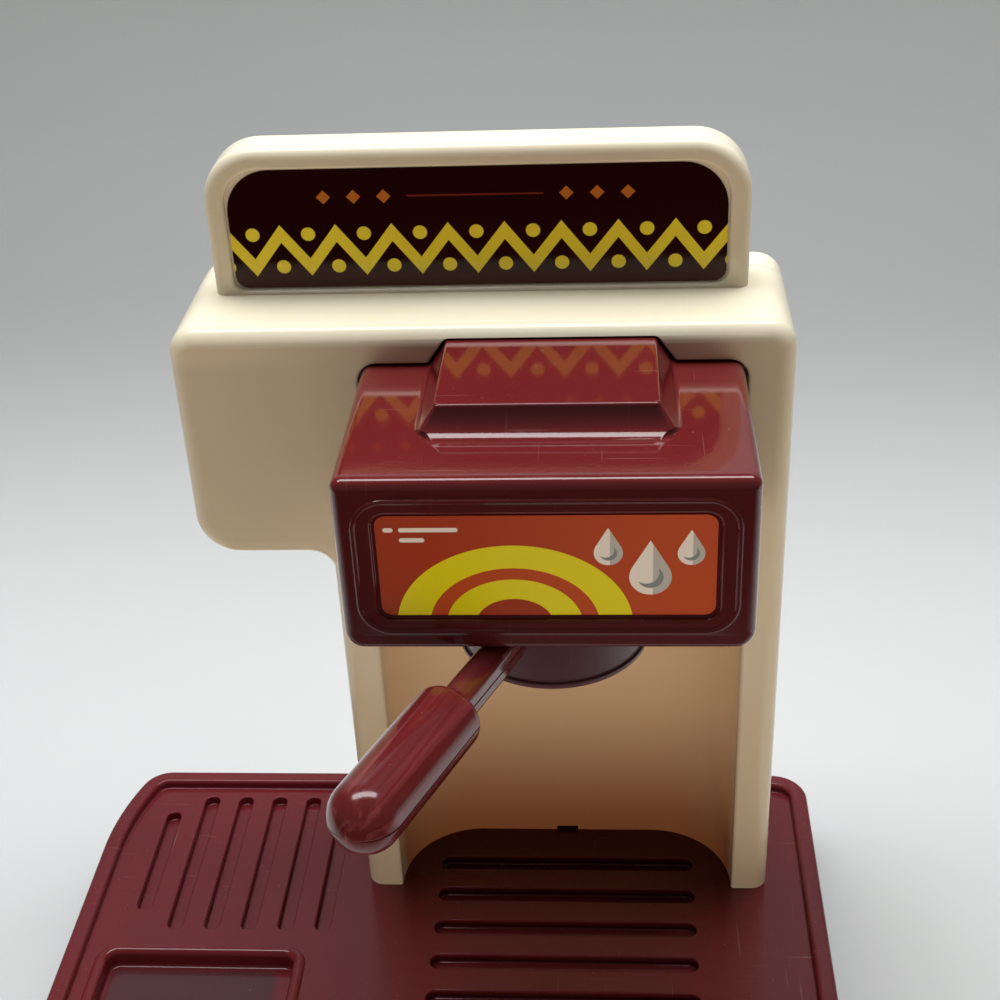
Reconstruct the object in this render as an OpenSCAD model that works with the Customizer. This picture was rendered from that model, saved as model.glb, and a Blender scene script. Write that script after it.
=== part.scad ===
// Toy coffee maker: a moulded base tray, a cream tower of two shells with a sign
// on top, and a head that carries a portafilter which swings under it.
// Millimetres. The origin is the middle of the base's underside, +Z is up,
// +X is to the right and the front of the toy faces -Y.

/* [Base] */
// Width of the base, left to right
base_w = 234; // [228:1:250]
// Depth of the base, front to back
base_d = 150; // [146:1:176]
// Height of the base's top surface above the table
base_h = 20; // [17:0.5:30]
// Wall thickness of the base moulding
base_wall = 2.4; // [1.8:0.1:3]
// Width of the raised rim round the base
rim_w = 5.5; // [4:0.5:7]
// Height of the raised rim above the top surface
rim_h = 3; // [1.5:0.5:5]
// Radius of the rim's two top edges
rim_edge_r = 1.4; // [0.6:0.2:1.4]
// Corner radius at the right end of the base
right_r = 11; // [9:1:18]
// Tight radius where the left corners leave the long sides
left_r = 10; // [8.5:0.5:13]
// Wide radius that leads the left corners into the left end
left_big_r = 90; // [80:1:100]
// Thickness of the plate that closes the underside
plate_t = 2.2; // [1.6:0.1:3]
// Gap round the underside plate
plate_gap = 0.2; // [0.1:0.05:0.5]

/* [Cup rest grooves] */
// Number of grooves in the cup rest at the left
groove_n = 6; // [3:1:6]
// Distance from one groove to the next
groove_pitch = 11.75; // [9:0.25:12]
// Width of a groove
groove_w = 4.8; // [3:0.2:6]
// Length of a full groove
groove_l = 61; // [40:1:64]
// Length of the short groove at the far left
groove_last_l = 45; // [30:1:50]
// Depth of the grooves and of the drip slots
groove_deep = 3; // [1:0.5:4]
// Where the grooves' back ends lie behind the tower's front
groove_back_y = 41; // [36:1:42]
// Right-most groove's middle, left of the tower's middle
groove_right_x = 75.8; // [74:0.2:80]

/* [Drip slots] */
// Number of drip slots under the portafilter
slot_n = 6; // [2:1:6]
// Distance from one drip slot to the next
slot_pitch = 14.1; // [10:0.1:14.5]
// Width of a drip slot
slot_w = 5.6; // [3:0.2:7]
// Length of a drip slot
slot_l = 81; // [50:1:84]
// Middle of the rear drip slot behind the tower's front
slot_back_y = 10.3; // [4:0.1:12]

/* [Accessory pocket] */
// Inner width of the pocket at the front left
pocket_w = 58; // [50:0.5:60]
// Inner depth of the pocket, front to back
pocket_l = 55; // [40:1:56]
// How deep the pocket's floor lies under the top surface
pocket_deep = 4.6; // [4.2:0.1:8]
// Corner radius inside the pocket
pocket_r = 3.5; // [2:0.5:8]
// Middle of the pocket, left of the tower's middle
pocket_x = 111.5; // [110.5:0.1:113]
// Back edge of the pocket, in front of the tower's front
pocket_back_y = 31; // [30:0.5:36]
// Radius of the round bead along the pocket's edge
bead_r = 2; // [1:0.2:2.4]
// How far the bead stands above the top surface
bead_h = 1.3; // [0.6:0.1:1.5]

/* [Tower] */
// Middle of the tower, right of the base's middle
tower_x = 36.8; // [36:0.2:38]
// Gap from the base's back edge to the tower's back
tower_back_gap = 1; // [0.5:0.5:3]
// Width of a pillar beside the niche
pillar_w = 11.2; // [10.4:0.1:12.4]
// Depth of the tower
tower_d = 50; // [48:0.5:54]
// Height of the tower above the base
tower_h = 196; // [195:1:230]
// How far the left block stands out from the column
block_out = 37.8; // [34:0.2:40]
// Height of the left block
block_h = 70; // [56:1:80]
// Wall thickness of the tower shells
tower_wall = 2.5; // [2:0.1:2.8]
// Radius of the tower's front edges
front_edge_r = 5; // [3:0.5:6]
// Radius of the tower's back edges
back_edge_r = 3; // [2:0.5:4]
// Radius of the tower's two top corners, seen from the front
top_corner_r = 8; // [4:0.5:9]
// Radius of the block's lower corner, seen from the front
block_corner_r = 12; // [6:1:14]
// Radius between the block's underside and the column
block_fillet_r = 6.5; // [3:0.5:8]
// Depth of the rear shell
rear_d = 12; // [10:0.5:12.5]

/* [Niche] */
// How much wider the niche is than the head, on each side
niche_margin = 2.3; // [2.1:0.1:2.6]
// Depth of the niche behind the tower's front
niche_d = 26.3; // [24:0.5:28]
// Radius of the niche's two upright back corners
niche_r = 24.5; // [16:0.5:24.5]

/* [Sign] */
// Width of the sign
sign_w = 144.2; // [130:0.5:146]
// Height of the sign above the tower
sign_h = 40.7; // [34:0.5:60]
// Thickness of the sign
sign_t = 14; // [12:0.5:14.4]
// Radius of the sign's two top corners
sign_r = 15; // [10:0.5:17]
// Radius of the label's two top corners
sign_label_r = 12; // [8:0.5:14]
// Middle of the sign, left of the tower's middle
sign_x = 19.8; // [19:0.2:20.4]
// How far the sign's face lies behind the tower's front
sign_back = 23.1; // [22:0.1:23.4]
// Width of the raised frame round the sign's label
sign_frame = 5.6; // [4:0.2:7]
// Depth of the recess that holds the sign's label
sign_recess = 1.6; // [0.8:0.1:2.4]
// Wall thickness of the sign
sign_wall = 2.4; // [1.8:0.1:2.8]

/* [Head] */
// Width of the head
head_w = 100; // [98:0.5:101]
// Height of the head's box
head_h = 47.4; // [44:0.2:50]
// How far the head stands out from the tower
head_out = 59.5; // [56:0.5:64]
// How far the head's top lies below the tower's top
head_drop = 10.6; // [8.2:0.2:14]
// Wall thickness of the head
head_wall = 2.5; // [2:0.1:3]
// Radius of the head's edges
head_edge_r = 3; // [1.5:0.5:4]
// Radius of the head's two lower corners, seen from the front
head_low_r = 5; // [3:0.5:7]
// Gap between the head and the sides of its opening
head_side_gap = 2; // [0.8:0.1:2.2]
// Gap between the head and the top of its opening
head_top_gap = 0.5; // [0.3:0.1:0.6]
// Width of the hump at its foot
hump_foot_w = 63.4; // [58:0.2:66]
// Width of the hump at its top
hump_top_w = 53; // [46:0.5:56]
// Height of the hump above the head
hump_h = 7; // [4:0.5:7]
// Distance from the head's face to the front of the hump's foot
hump_front = 16.5; // [14:0.5:22]
// Radius of the hollow curve that leads up to the hump's front edge
hump_curve_r = 8; // [7.2:0.2:10]
// Depth of the head's floor inside the lower edge
floor_recess = 2; // [2:0.1:2.4]
// Thickness of the head's floor
floor_t = 2.5; // [2:0.1:3]

/* [Head label] */
// Width of the bead line round the head's front panel
panel_w = 91.6; // [86:0.2:92]
// Height of the bead line round the head's front panel
panel_h = 38.1; // [36:0.1:39]
// Corner radius of the bead line
panel_r = 8.5; // [6:0.5:10]
// Width of the recess that holds the label
recess_w = 82; // [76:0.5:83]
// Height of the recess that holds the label
recess_h = 30; // [26:0.5:31]
// Corner radius of the recess
recess_r = 3.6; // [2:0.2:5]
// Depth of the recess
recess_deep = 1.5; // [0.8:0.1:1.6]
// Thickness of both labels
label_t = 0.3; // [0.2:0.05:0.5]
// Gap between a label and the edge of its recess
label_gap = 0.9; // [0.3:0.1:1.5]

/* [Portafilter] */
// Distance from the tower's front to the cup's upright axis
pivot_out = 27.5; // [27:0.5:30]
// Radius of the cup's wall
cup_r = 24.4; // [23:0.2:24.6]
// Height of the cup
cup_h = 19.6; // [19:0.2:24]
// Wall thickness of the cup
cup_wall = 2.2; // [1.6:0.1:2.6]
// How far the lip at the cup's foot stands out
cup_lip = 0.7; // [0.3:0.1:1.2]
// Radius of the pivot post under the head
post_r = 6; // [5:0.25:6.5]
// Radial clearance of the hub on the pivot post
post_gap = 0.06; // [0.03:0.01:0.1]
// Wall thickness of the hub
hub_wall = 3; // [2.4:0.2:3.2]
// Clearance between the cup and the head's floor
swing_gap = 0.4; // [0.3:0.05:0.6]
// How far the handle stands left of straight ahead at rest
handle_turn = 24; // [18:1:28]
// How far left of straight ahead the handle swings
swing_left = 45; // [40:1:45]
// How far right of straight ahead the handle swings
swing_right = 15; // [10:1:20]
// Radius of the stop peg under the head's floor
peg_r = 2.4; // [1.6:0.2:2.6]
// Distance from the pivot to the stop peg
peg_out = 16; // [15.2:0.2:17]

/* [Handle] */
// Height of the handle's axis under the head's lower edge
handle_drop = 4.6; // [4.6:0.1:5.2]
// Width and height of the handle's bar
bar_w = 8; // [7:0.2:8.4]
// Radius of the bar's edges
bar_edge_r = 1.8; // [1:0.2:2.4]
// Radius of the grip
grip_r = 8.7; // [8:0.1:9.2]
// Distance from the pivot to the start of the grip
grip_start = 55; // [53:0.5:60]
// Distance from the pivot to the middle of the grip's round tip
grip_reach = 94; // [90:0.5:110]
// Radius of the edge where the grip meets the bar
grip_edge_r = 3; // [1.5:0.5:4]
// Wall thickness of the hollow grip
grip_wall = 2; // [1.6:0.1:2.6]
// Depth of the groove along the seam of the grip
seam_deep = 0.4; // [0.2:0.05:0.6]
// Width of the groove along the seam of the grip
seam_w = 0.5; // [0.3:0.05:0.7]

/* [Fasteners] */
// Radius of the screws' shanks
shank_r = 1.4; // [1.2:0.05:1.5]
// Radius of the screws' heads
screw_head_r = 2.7; // [2.4:0.1:2.8]
// Height of the screws' heads
screw_head_h = 1.6; // [1.2:0.1:1.7]
// Radial gap between a shank and its hole
hole_gap = 0.05; // [0.03:0.01:0.1]
// Wall round a screw hole in a boss
boss_wall = 1.9; // [1.6:0.1:2]

/* [Hidden] */
$fn = 64;
// Overshoot of a cut past the face that it opens
cut = 1;
// How far two joined shapes of one moulding run into each other
lap = 0.5;

cream = "#ece2c6";
burgundy = "#6e1a20";
dark_burgundy = "#4a161c";
label_orange = "#c8501e";
label_brown = "#1e0603";
steel = "#9a9a98";

shank_hole_r = shank_r + hole_gap;
boss_r = shank_hole_r + boss_wall;
head_hole_r = screw_head_r + 0.3;
// Depth at which a screw's head seats below the face that it is driven from
head_sink = screw_head_h + 0.4;

base_back = base_d / 2;
tower_front = base_back - tower_back_gap - tower_d;
// The left corners' two arcs meet on a line through both their middles. Its slope
// has short exact decimals, so that the swept pieces meet without a gap.
left_cos = 0.936;
left_sin = 0.352;
left_turn = asin(left_sin);
left_draw_w = left_big_r - (left_big_r - left_r) * left_cos;
left_draw_d = left_r + (left_big_r - left_r) * left_sin;
plate_inset = base_wall + plate_gap;
// The plate's screws seat in cups that stand up from it
plate_cup_h = head_sink + 2;
plate_cup_r = head_hole_r + 1.6;
plate_screw_l = 10;
// Wall round the grooves and slots, seen from below
trough_wall = 1.6;

head_z = tower_h - head_drop - head_h;
niche_w = head_w + 2 * niche_margin;
tower_w = niche_w + 2 * pillar_w;
inner_x = tower_w / 2 - tower_wall;
block_x = -tower_w / 2 - block_out;
block_z = tower_h - block_h;
parting = tower_d - rear_d;
// How far the pillars' bosses run into the side walls
pillar_lap = 0.7;
pillar_x = inner_x - boss_r + pillar_lap;
// Height at which the column's outline ends inside the block
column_top = block_z + block_h / 3;
shell_screw_l = 16;
rear_seat = parting + 3;
// Screws that join the shells, seen from the front: [x, z]
shell_screws = [
    [block_x + tower_wall + boss_r + 1.5, tower_h - top_corner_r - 4],
    [block_x + tower_wall + boss_r + 1.5, block_z + block_corner_r],
    [inner_x - boss_r + lap, tower_h - top_corner_r - 4],
    [pillar_x, 92],
    [-pillar_x, 92],
    [pillar_x, 24],
    [-pillar_x, 24]
];
// Screws from the base up into the tower: [x, y] from the tower's middle and front
foot_x = niche_w / 2 - niche_r - 3;
foot_y = niche_d + tower_wall + boss_r - 0.6;
foot_screws = [[pillar_x, 12], [-pillar_x, 12], [foot_x, foot_y], [-foot_x, foot_y]];
foot_boss_h = 14;
foot_screw_l = 12;
// Tongue on the base that locates the tower
tongue_w = 36;
tongue_h = 4;
tongue_gap = 0.3;

sign_foot_y = sign_back + sign_t / 2;
// Tabs and screws under the sign, from the sign's middle
sign_tabs = [-sign_w * 0.33, sign_w * 0.33];
sign_screw_x = [-sign_w * 0.2, sign_w * 0.2];
tab_w = 12;
tab_t = 4;
tab_l = 7;
tab_gap = 0.15;
sign_boss_h = 14;
sign_screw_l = 12;
// Radius of the sign's outer edges, in two steps
sign_edge_r = 2.4;
sign_edge_step = 0.7;
// Radius of the recess's two lower corners and the strip left under it
sign_low_r = 3.5;
sign_low_frame = 1.1;

head_back = 10.5;
ear_t = 2.5;
ear_out = tower_w / 2 - tower_wall - 1;
ear_z = [head_z + 12, head_z + 28];
ear_x = ear_out - boss_r - 0.4;
ear_screw_l = 3 * ear_t;
floor_z = head_z + floor_recess;
ceiling_gap = 0.3;
recess_z = head_z + 8.4;
panel_z = head_z + 4.6;
label_w = recess_w - 2 * label_gap;
label_h = recess_h - 2 * label_gap;
floor_fit = 0.2;
floor_screw_l = 10;
// Width of the bead line round the front panel and how far it stands out
line_w = 1.2;
line_h = 0.6;
// Where the hump's front edge lies, and how far its front ends are cut in
hump_edge_y = -head_out + hump_front
    + sqrt(pow(hump_curve_r, 2) - pow(hump_curve_r - hump_h, 2));
hump_cut_w = 6.7;
floor_screws = [
    [head_w / 2 - head_wall - boss_r + 0.3, -head_out + 8],
    [-head_w / 2 + head_wall + boss_r - 0.3, -head_out + 8],
    [head_w / 2 - head_wall - boss_r + 0.3, -8],
    [-head_w / 2 + head_wall + boss_r - 0.3, -8]
];

cup_top = floor_z - swing_gap;
cup_foot = cup_top - cup_h;
cup_lip_h = 1.6;
cup_lip_edge = 0.6;
hub_r = post_r + post_gap;
well_r = hub_r + hub_wall + 0.4;
well_out = well_r + 2;
washer_t = 1;
friction_t = 0.8;
washer_r = well_r - 0.3;
post_foot = cup_foot + 6;
hub_foot = post_foot + friction_t + 0.05;
pivot_shank_r = 1.6;
pivot_shank_l = 12;
pivot_head_r = 3.4;
pivot_head_h = 2;
rib_t = 2;
rib_top = cup_top - 3;
peg_foot = rib_top - 5;
stop_angle = asin((peg_r + rib_t / 2 + 0.3) / peg_out);
handle_z = head_z - handle_drop;
tenon_w = bar_w - 2;
tenon_gap = 0.1;
tenon_start = well_out + 0.4;
socket_wall = 2;
bar_start = cup_r + cup_lip + 0.3;
root_screw_out = (tenon_start + cup_r) / 2;
root_screw_l = 8.5;
// Material between the root screw's head and the socket
root_seat_t = 1.6;
grip_screw_l = grip_r + 1.3;
grip_boss_s = [grip_start + 12, grip_reach - 4];

// ---------------------------------------------------------------- plain shapes

// A rectangle with round corners, given by its corners
module round_rect(x0, y0, x1, y1, r) {
    translate([x0 + r, y0]) square([x1 - x0 - 2 * r, y1 - y0]);
    translate([x0, y0 + r]) square([x1 - x0, y1 - y0 - 2 * r]);
    for (x = [x0 + r, x1 - r], y = [y0 + r, y1 - r]) {
        translate([x, y]) circle(r);
    }
}

// A rectangle with its own radius at each corner:
// [low left, low right, top right, top left], 0 for a square corner
module corner_rect(x0, y0, x1, y1, r) {
    difference() {
        translate([x0, y0]) square([x1 - x0, y1 - y0]);
        corner_cut(x0, y0, 1, 1, r[0]);
        corner_cut(x1, y0, -1, 1, r[1]);
        corner_cut(x1, y1, -1, -1, r[2]);
        corner_cut(x0, y1, 1, -1, r[3]);
    }
}

// What a round corner of radius r takes off a square one at (x, y)
module corner_cut(x, y, sx, sy, r) {
    if (r > 0) {
        translate([x, y]) scale([sx, sy]) difference() {
            translate([-cut, -cut]) square(r + cut);
            translate([r, r]) circle(r);
        }
    }
}

// Stands a front view, drawn in x and z, up and gives it a depth along +Y
module upright(y0, y1) {
    translate([0, y1, 0]) rotate([90, 0, 0]) linear_extrude(y1 - y0) children();
}

// Stands a side view, drawn in y and z, up and gives it a width along +X
module sideways(x0, x1) {
    translate([x0, 0, 0]) rotate([90, 0, 90]) linear_extrude(x1 - x0) children();
}

// Puts its children at the tower's place: x 0 in its middle, y 0 on its front
// face, z 0 on the base's top surface
module at_tower() {
    translate([tower_x, tower_front, base_h]) children();
}

// Puts its children on the cup's axis, at the base's top surface
module at_pivot() {
    at_tower() translate([0, -pivot_out, 0]) children();
}

// Puts its children on the handle's axis, x along the handle
module at_handle() {
    at_pivot() translate([0, 0, handle_z]) rotate([0, 0, -90 - handle_turn]) children();
}

// A self-tapping screw: the head's seat is at z 0 and the shank runs up
module screw(length, r = shank_r, head_r = screw_head_r, head_h = screw_head_h) {
    difference() {
        union() {
            translate([0, 0, -head_h]) cylinder(r = head_r, h = head_h);
            cylinder(r = r, h = length - r);
            translate([0, 0, length - r]) cylinder(r1 = r, r2 = 0.3, h = r);
        }
        for (turn = [0, 90]) {
            rotate([0, 0, turn]) translate([-head_r * 0.6, -0.35, -head_h - cut])
                cube([head_r * 1.2, 0.7, cut + head_h * 0.6]);
        }
    }
}

// ------------------------------------------------------------------- base

// The part of a full sweep of radius r round a point that lies in some sector
module arc_sweep(middle, r, sector) {
    intersection() {
        translate([middle[0], middle[1], 0]) rotate_extrude() translate([r, 0]) scale([-1, 1])
            children();
        translate([middle[0], middle[1], -cut]) linear_extrude(base_h + rim_h + 2 * cut)
            polygon(2 * r * sector);
    }
}

// Sweeps a rim section round the base. Its x runs inwards from the outer face.
module round_base() {
    x0 = -base_w / 2;
    x1 = base_w / 2;
    y1 = base_d / 2;
    for (side = [1, -1]) {
        scale([1, side, 1]) {
            // long side
            translate([x0 + left_draw_w, y1, 0]) rotate([90, 0, 90])
                linear_extrude(base_w - left_draw_w - right_r) scale([-1, 1]) children();
            // right corner
            arc_sweep([x1 - right_r, y1 - right_r], right_r, [[0, 0], [1, 0], [1, 1], [0, 1]])
                children();
            // tight and wide parts of the left corner
            arc_sweep([x0 + left_draw_w, y1 - left_r], left_r,
                [[0, 0], [0, 1], [-1, 1], [-left_cos, left_sin]]) children();
            arc_sweep([x0 + left_big_r, y1 - left_draw_d], left_big_r,
                [[0, 0], [-left_cos, left_sin], [-1, left_sin / 2], [-1, 0]]) children();
        }
    }
    // ends
    translate([x1, right_r - y1, 0]) rotate([90, 0, 180]) linear_extrude(base_d - 2 * right_r)
        children();
    translate([x0, y1 - left_draw_d, 0]) rotate([90, 0, 0]) linear_extrude(base_d - 2 * left_draw_d)
        children();
}

// The base's outline, drawn in by some distance
module base_outline(inset) {
    x0 = -base_w / 2;
    x1 = base_w / 2;
    y1 = base_d / 2;
    steps = 10;
    corner = [
        for (i = [0 : steps]) let (a = 90 * i / steps, r = right_r - inset)
            [x1 - right_r + r * cos(a), y1 - right_r + r * sin(a)],
        for (i = [0 : steps]) let (a = 90 + (90 - left_turn) * i / steps, r = left_r - inset)
            [x0 + left_draw_w + r * cos(a), y1 - left_r + r * sin(a)],
        for (i = [1 : steps]) let (a = 180 - left_turn + left_turn * i / steps, r = left_big_r - inset)
            [x0 + left_big_r + r * cos(a), y1 - left_draw_d + r * sin(a)]
    ];
    polygon(concat(corner, [for (i = [len(corner) - 1 : -1 : 0]) [corner[i][0], -corner[i][1]]]));
}

// A slot with round ends along y
module slot_y(x, y0, y1, w) {
    translate([x - w / 2, y0 + w / 2]) square([w, y1 - y0 - w]);
    for (y = [y0 + w / 2, y1 - w / 2]) {
        translate([x, y]) circle(w / 2);
    }
}

// Plan of the cup rest's grooves, from the tower's middle and front
module rest_grooves(grow = 0) {
    for (i = [0 : groove_n - 1]) {
        x = -groove_right_x - i * groove_pitch;
        last = i == groove_n - 1;
        l = last ? groove_last_l : groove_l;
        y1 = groove_back_y - (last ? (groove_l - groove_last_l) / 2 : 0);
        slot_y(x, y1 - l - grow, y1 + grow, groove_w + 2 * grow);
    }
}

// Plan of the drip slots, from the tower's middle and front
module drip_slots(grow = 0) {
    for (i = [0 : slot_n - 1]) {
        rotate(90) slot_y(slot_back_y - i * slot_pitch, -slot_l / 2 - grow, slot_l / 2 + grow,
            slot_w + 2 * grow);
    }
}

// Plan of the pocket, grown by some distance
module pocket_plan(grow) {
    round_rect(-pocket_x - pocket_w / 2 - grow, -pocket_back_y - pocket_l - grow,
        -pocket_x + pocket_w / 2 + grow, -pocket_back_y + grow, pocket_r + grow);
}

// The round bead along the pocket's edge
module pocket_bead() {
    x0 = -pocket_x - pocket_w / 2 - bead_r;
    x1 = -pocket_x + pocket_w / 2 + bead_r;
    y0 = -pocket_back_y - pocket_l - bead_r;
    y1 = -pocket_back_y + bead_r;
    r = pocket_r + bead_r;
    translate([0, 0, bead_h - bead_r]) {
        for (y = [y0, y1]) {
            translate([x0 + r, y, 0]) rotate([0, 90, 0]) cylinder(r = bead_r, h = x1 - x0 - 2 * r);
        }
        for (x = [x0, x1]) {
            translate([x, y1 - r, 0]) rotate([90, 0, 0]) cylinder(r = bead_r, h = y1 - y0 - 2 * r);
        }
        for (c = [[x0 + r, y0 + r, 180], [x1 - r, y0 + r, 270], [x1 - r, y1 - r, 0], [x0 + r, y1 - r, 90]]) {
            translate([c[0], c[1], 0]) rotate([0, 0, c[2]]) rotate_extrude(angle = 90)
                translate([r, 0]) circle(bead_r);
        }
    }
}

// Places of the screws that hold the underside plate
module at_plate_screws() {
    x = base_w / 2 - 16;
    y = base_d / 2 - 14;
    for (p = [[-base_w / 2 + left_draw_w + 6, y], [0, y], [x, y], [-base_w / 2 + left_draw_w + 6, -y],
            [0, -y], [x, -y]]) {
        translate([p[0], p[1], 0]) children();
    }
}

// Tongue that stands up into the hollow foot of the tower
module tongue() {
    y0 = niche_d + tower_wall + tongue_gap;
    translate([-tongue_w / 2, y0, -lap]) cube([tongue_w, tower_d - tower_wall - tongue_gap - y0,
        tongue_h + lap]);
}

module base_tray() {
    top = base_h;
    color(burgundy) difference() {
        union() {
            // skirt, raised rim and the top surface
            round_base() {
                union() {
                    square([base_wall, top]);
                    translate([0, top - base_wall / 2])
                        square([rim_w, base_wall / 2 + rim_h - rim_edge_r]);
                    translate([rim_edge_r, top]) square([rim_w - 2 * rim_edge_r, rim_h]);
                    for (x = [rim_edge_r, rim_w - rim_edge_r]) {
                        translate([x, top + rim_h - rim_edge_r]) circle(rim_edge_r);
                    }
                }
            }
            translate([0, 0, top - base_wall]) linear_extrude(base_wall) base_outline(base_wall / 2);
            at_tower() {
                // troughs under the grooves, the slots and the pocket
                translate([0, 0, -groove_deep - base_wall]) linear_extrude(groove_deep + lap) {
                    rest_grooves(trough_wall);
                    drip_slots(trough_wall);
                }
                translate([0, 0, -pocket_deep - base_wall]) linear_extrude(pocket_deep + lap)
                    pocket_plan(bead_r);
                pocket_bead();
                tongue();
            }
            // bosses for the plate's screws
            at_plate_screws() translate([0, 0, plate_cup_h])
                cylinder(r = boss_r, h = top - plate_cup_h - lap);
        }
        at_tower() {
            translate([0, 0, -groove_deep]) linear_extrude(groove_deep + cut) {
                rest_grooves();
                drip_slots();
            }
            translate([0, 0, -pocket_deep]) linear_extrude(pocket_deep + bead_h + cut) pocket_plan(0);
            // the rim stops where the tower stands
            translate([-tower_w / 2 - 0.3, tower_d + tower_back_gap - rim_w - cut, 0])
                cube([tower_w + 0.6, rim_w + 2 * cut, rim_h + cut]);
            // holes for the screws that hold the tower
            for (p = foot_screws) {
                translate([p[0], p[1], -base_wall - cut]) cylinder(r = shank_hole_r, h = base_wall + 2 * cut);
            }
        }
        at_plate_screws() translate([0, 0, plate_cup_h - cut])
            cylinder(r = shank_hole_r, h = plate_screw_l + cut);
    }
}

module base_bottom_plate() {
    color(dark_burgundy) difference() {
        union() {
            linear_extrude(plate_t) base_outline(plate_inset);
            at_plate_screws() cylinder(r = plate_cup_r, h = plate_cup_h);
        }
        at_plate_screws() {
            translate([0, 0, -cut]) cylinder(r = head_hole_r, h = head_sink + cut);
            cylinder(r = shank_hole_r, h = plate_cup_h + cut);
        }
    }
}

module base_plate_screws() {
    color(steel) at_plate_screws() translate([0, 0, head_sink]) screw(plate_screw_l);
}

module tower_base_screws() {
    color(steel) at_tower() {
        for (p = foot_screws) {
            translate([p[0], p[1], -base_wall]) screw(foot_screw_l);
        }
    }
}

// ------------------------------------------------------------------- tower

// A block with round edges: r_front and r_back are the radii of its front and
// back edges, corners the radii of its corners seen from the front, and foot is
// false where the block has no lower edges
module soft_block(x0, x1, z0, z1, corners, foot) {
    low = foot ? 1 : 0;
    intersection() {
        upright(0, tower_d) corner_rect(x0, z0, x1, z1, corners);
        sideways(x0, x1) corner_rect(0, z0, tower_d, z1,
            [front_edge_r * low, back_edge_r * low, back_edge_r, front_edge_r]);
        translate([0, 0, z0]) linear_extrude(z1 - z0) corner_rect(x0, 0, x1, tower_d,
            [front_edge_r, front_edge_r, back_edge_r, back_edge_r]);
    }
}

// The outside of the tower, both shells together
module tower_outside() {
    soft_block(block_x, tower_w / 2, block_z, tower_h,
        [block_corner_r, 0, top_corner_r, top_corner_r], true);
    soft_block(-tower_w / 2, tower_w / 2, 0, column_top, [0, 0, 0, 0], false);
    // fillet under the block
    upright(front_edge_r, tower_d - back_edge_r) difference() {
        translate([-tower_w / 2 - block_fillet_r, block_z - block_fillet_r])
            square([block_fillet_r + 1, block_fillet_r + 1]);
        translate([-tower_w / 2 - block_fillet_r, block_z - block_fillet_r]) circle(block_fillet_r);
    }
}

// The hollow of both shells
module tower_hollow() {
    w = tower_wall;
    upright(w, tower_d - w) {
        corner_rect(block_x + w, block_z + w, tower_w / 2 - w, tower_h - w,
            [block_corner_r - w, 0, top_corner_r - w, top_corner_r - w]);
        translate([-tower_w / 2 + w, -cut]) square([tower_w - 2 * w, column_top + cut]);
    }
}

// Plan of the niche, grown by some distance
module niche_plan(grow) {
    cx = niche_w / 2 - niche_r;
    cy = niche_d - niche_r;
    translate([-niche_w / 2 - grow, -cut]) square([niche_w + 2 * grow, cy + cut]);
    translate([-cx, -cut]) square([2 * cx, niche_d + grow + cut]);
    for (side = [-1, 1]) {
        translate([side * cx, cy]) circle(niche_r + grow);
    }
}

// Front view of the head with its hump, grown by side and top gaps
module head_view(side, top) {
    z1 = head_z + head_h;
    corner_rect(-head_w / 2 - side, head_z, head_w / 2 + side, z1 + top,
        [0, 0, head_edge_r + side, head_edge_r + side]);
    foot = hump_foot_w / 2 + top;
    tip = hump_top_w / 2 + top;
    polygon([[-foot, z1 - 1], [foot, z1 - 1], [foot, z1 + top],
        [tip + 1, z1 + hump_h + top - 1], [tip - 0.6, z1 + hump_h + top],
        [0.6 - tip, z1 + hump_h + top], [-tip - 1, z1 + hump_h + top - 1], [-foot, z1 + top]]);
}

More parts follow.
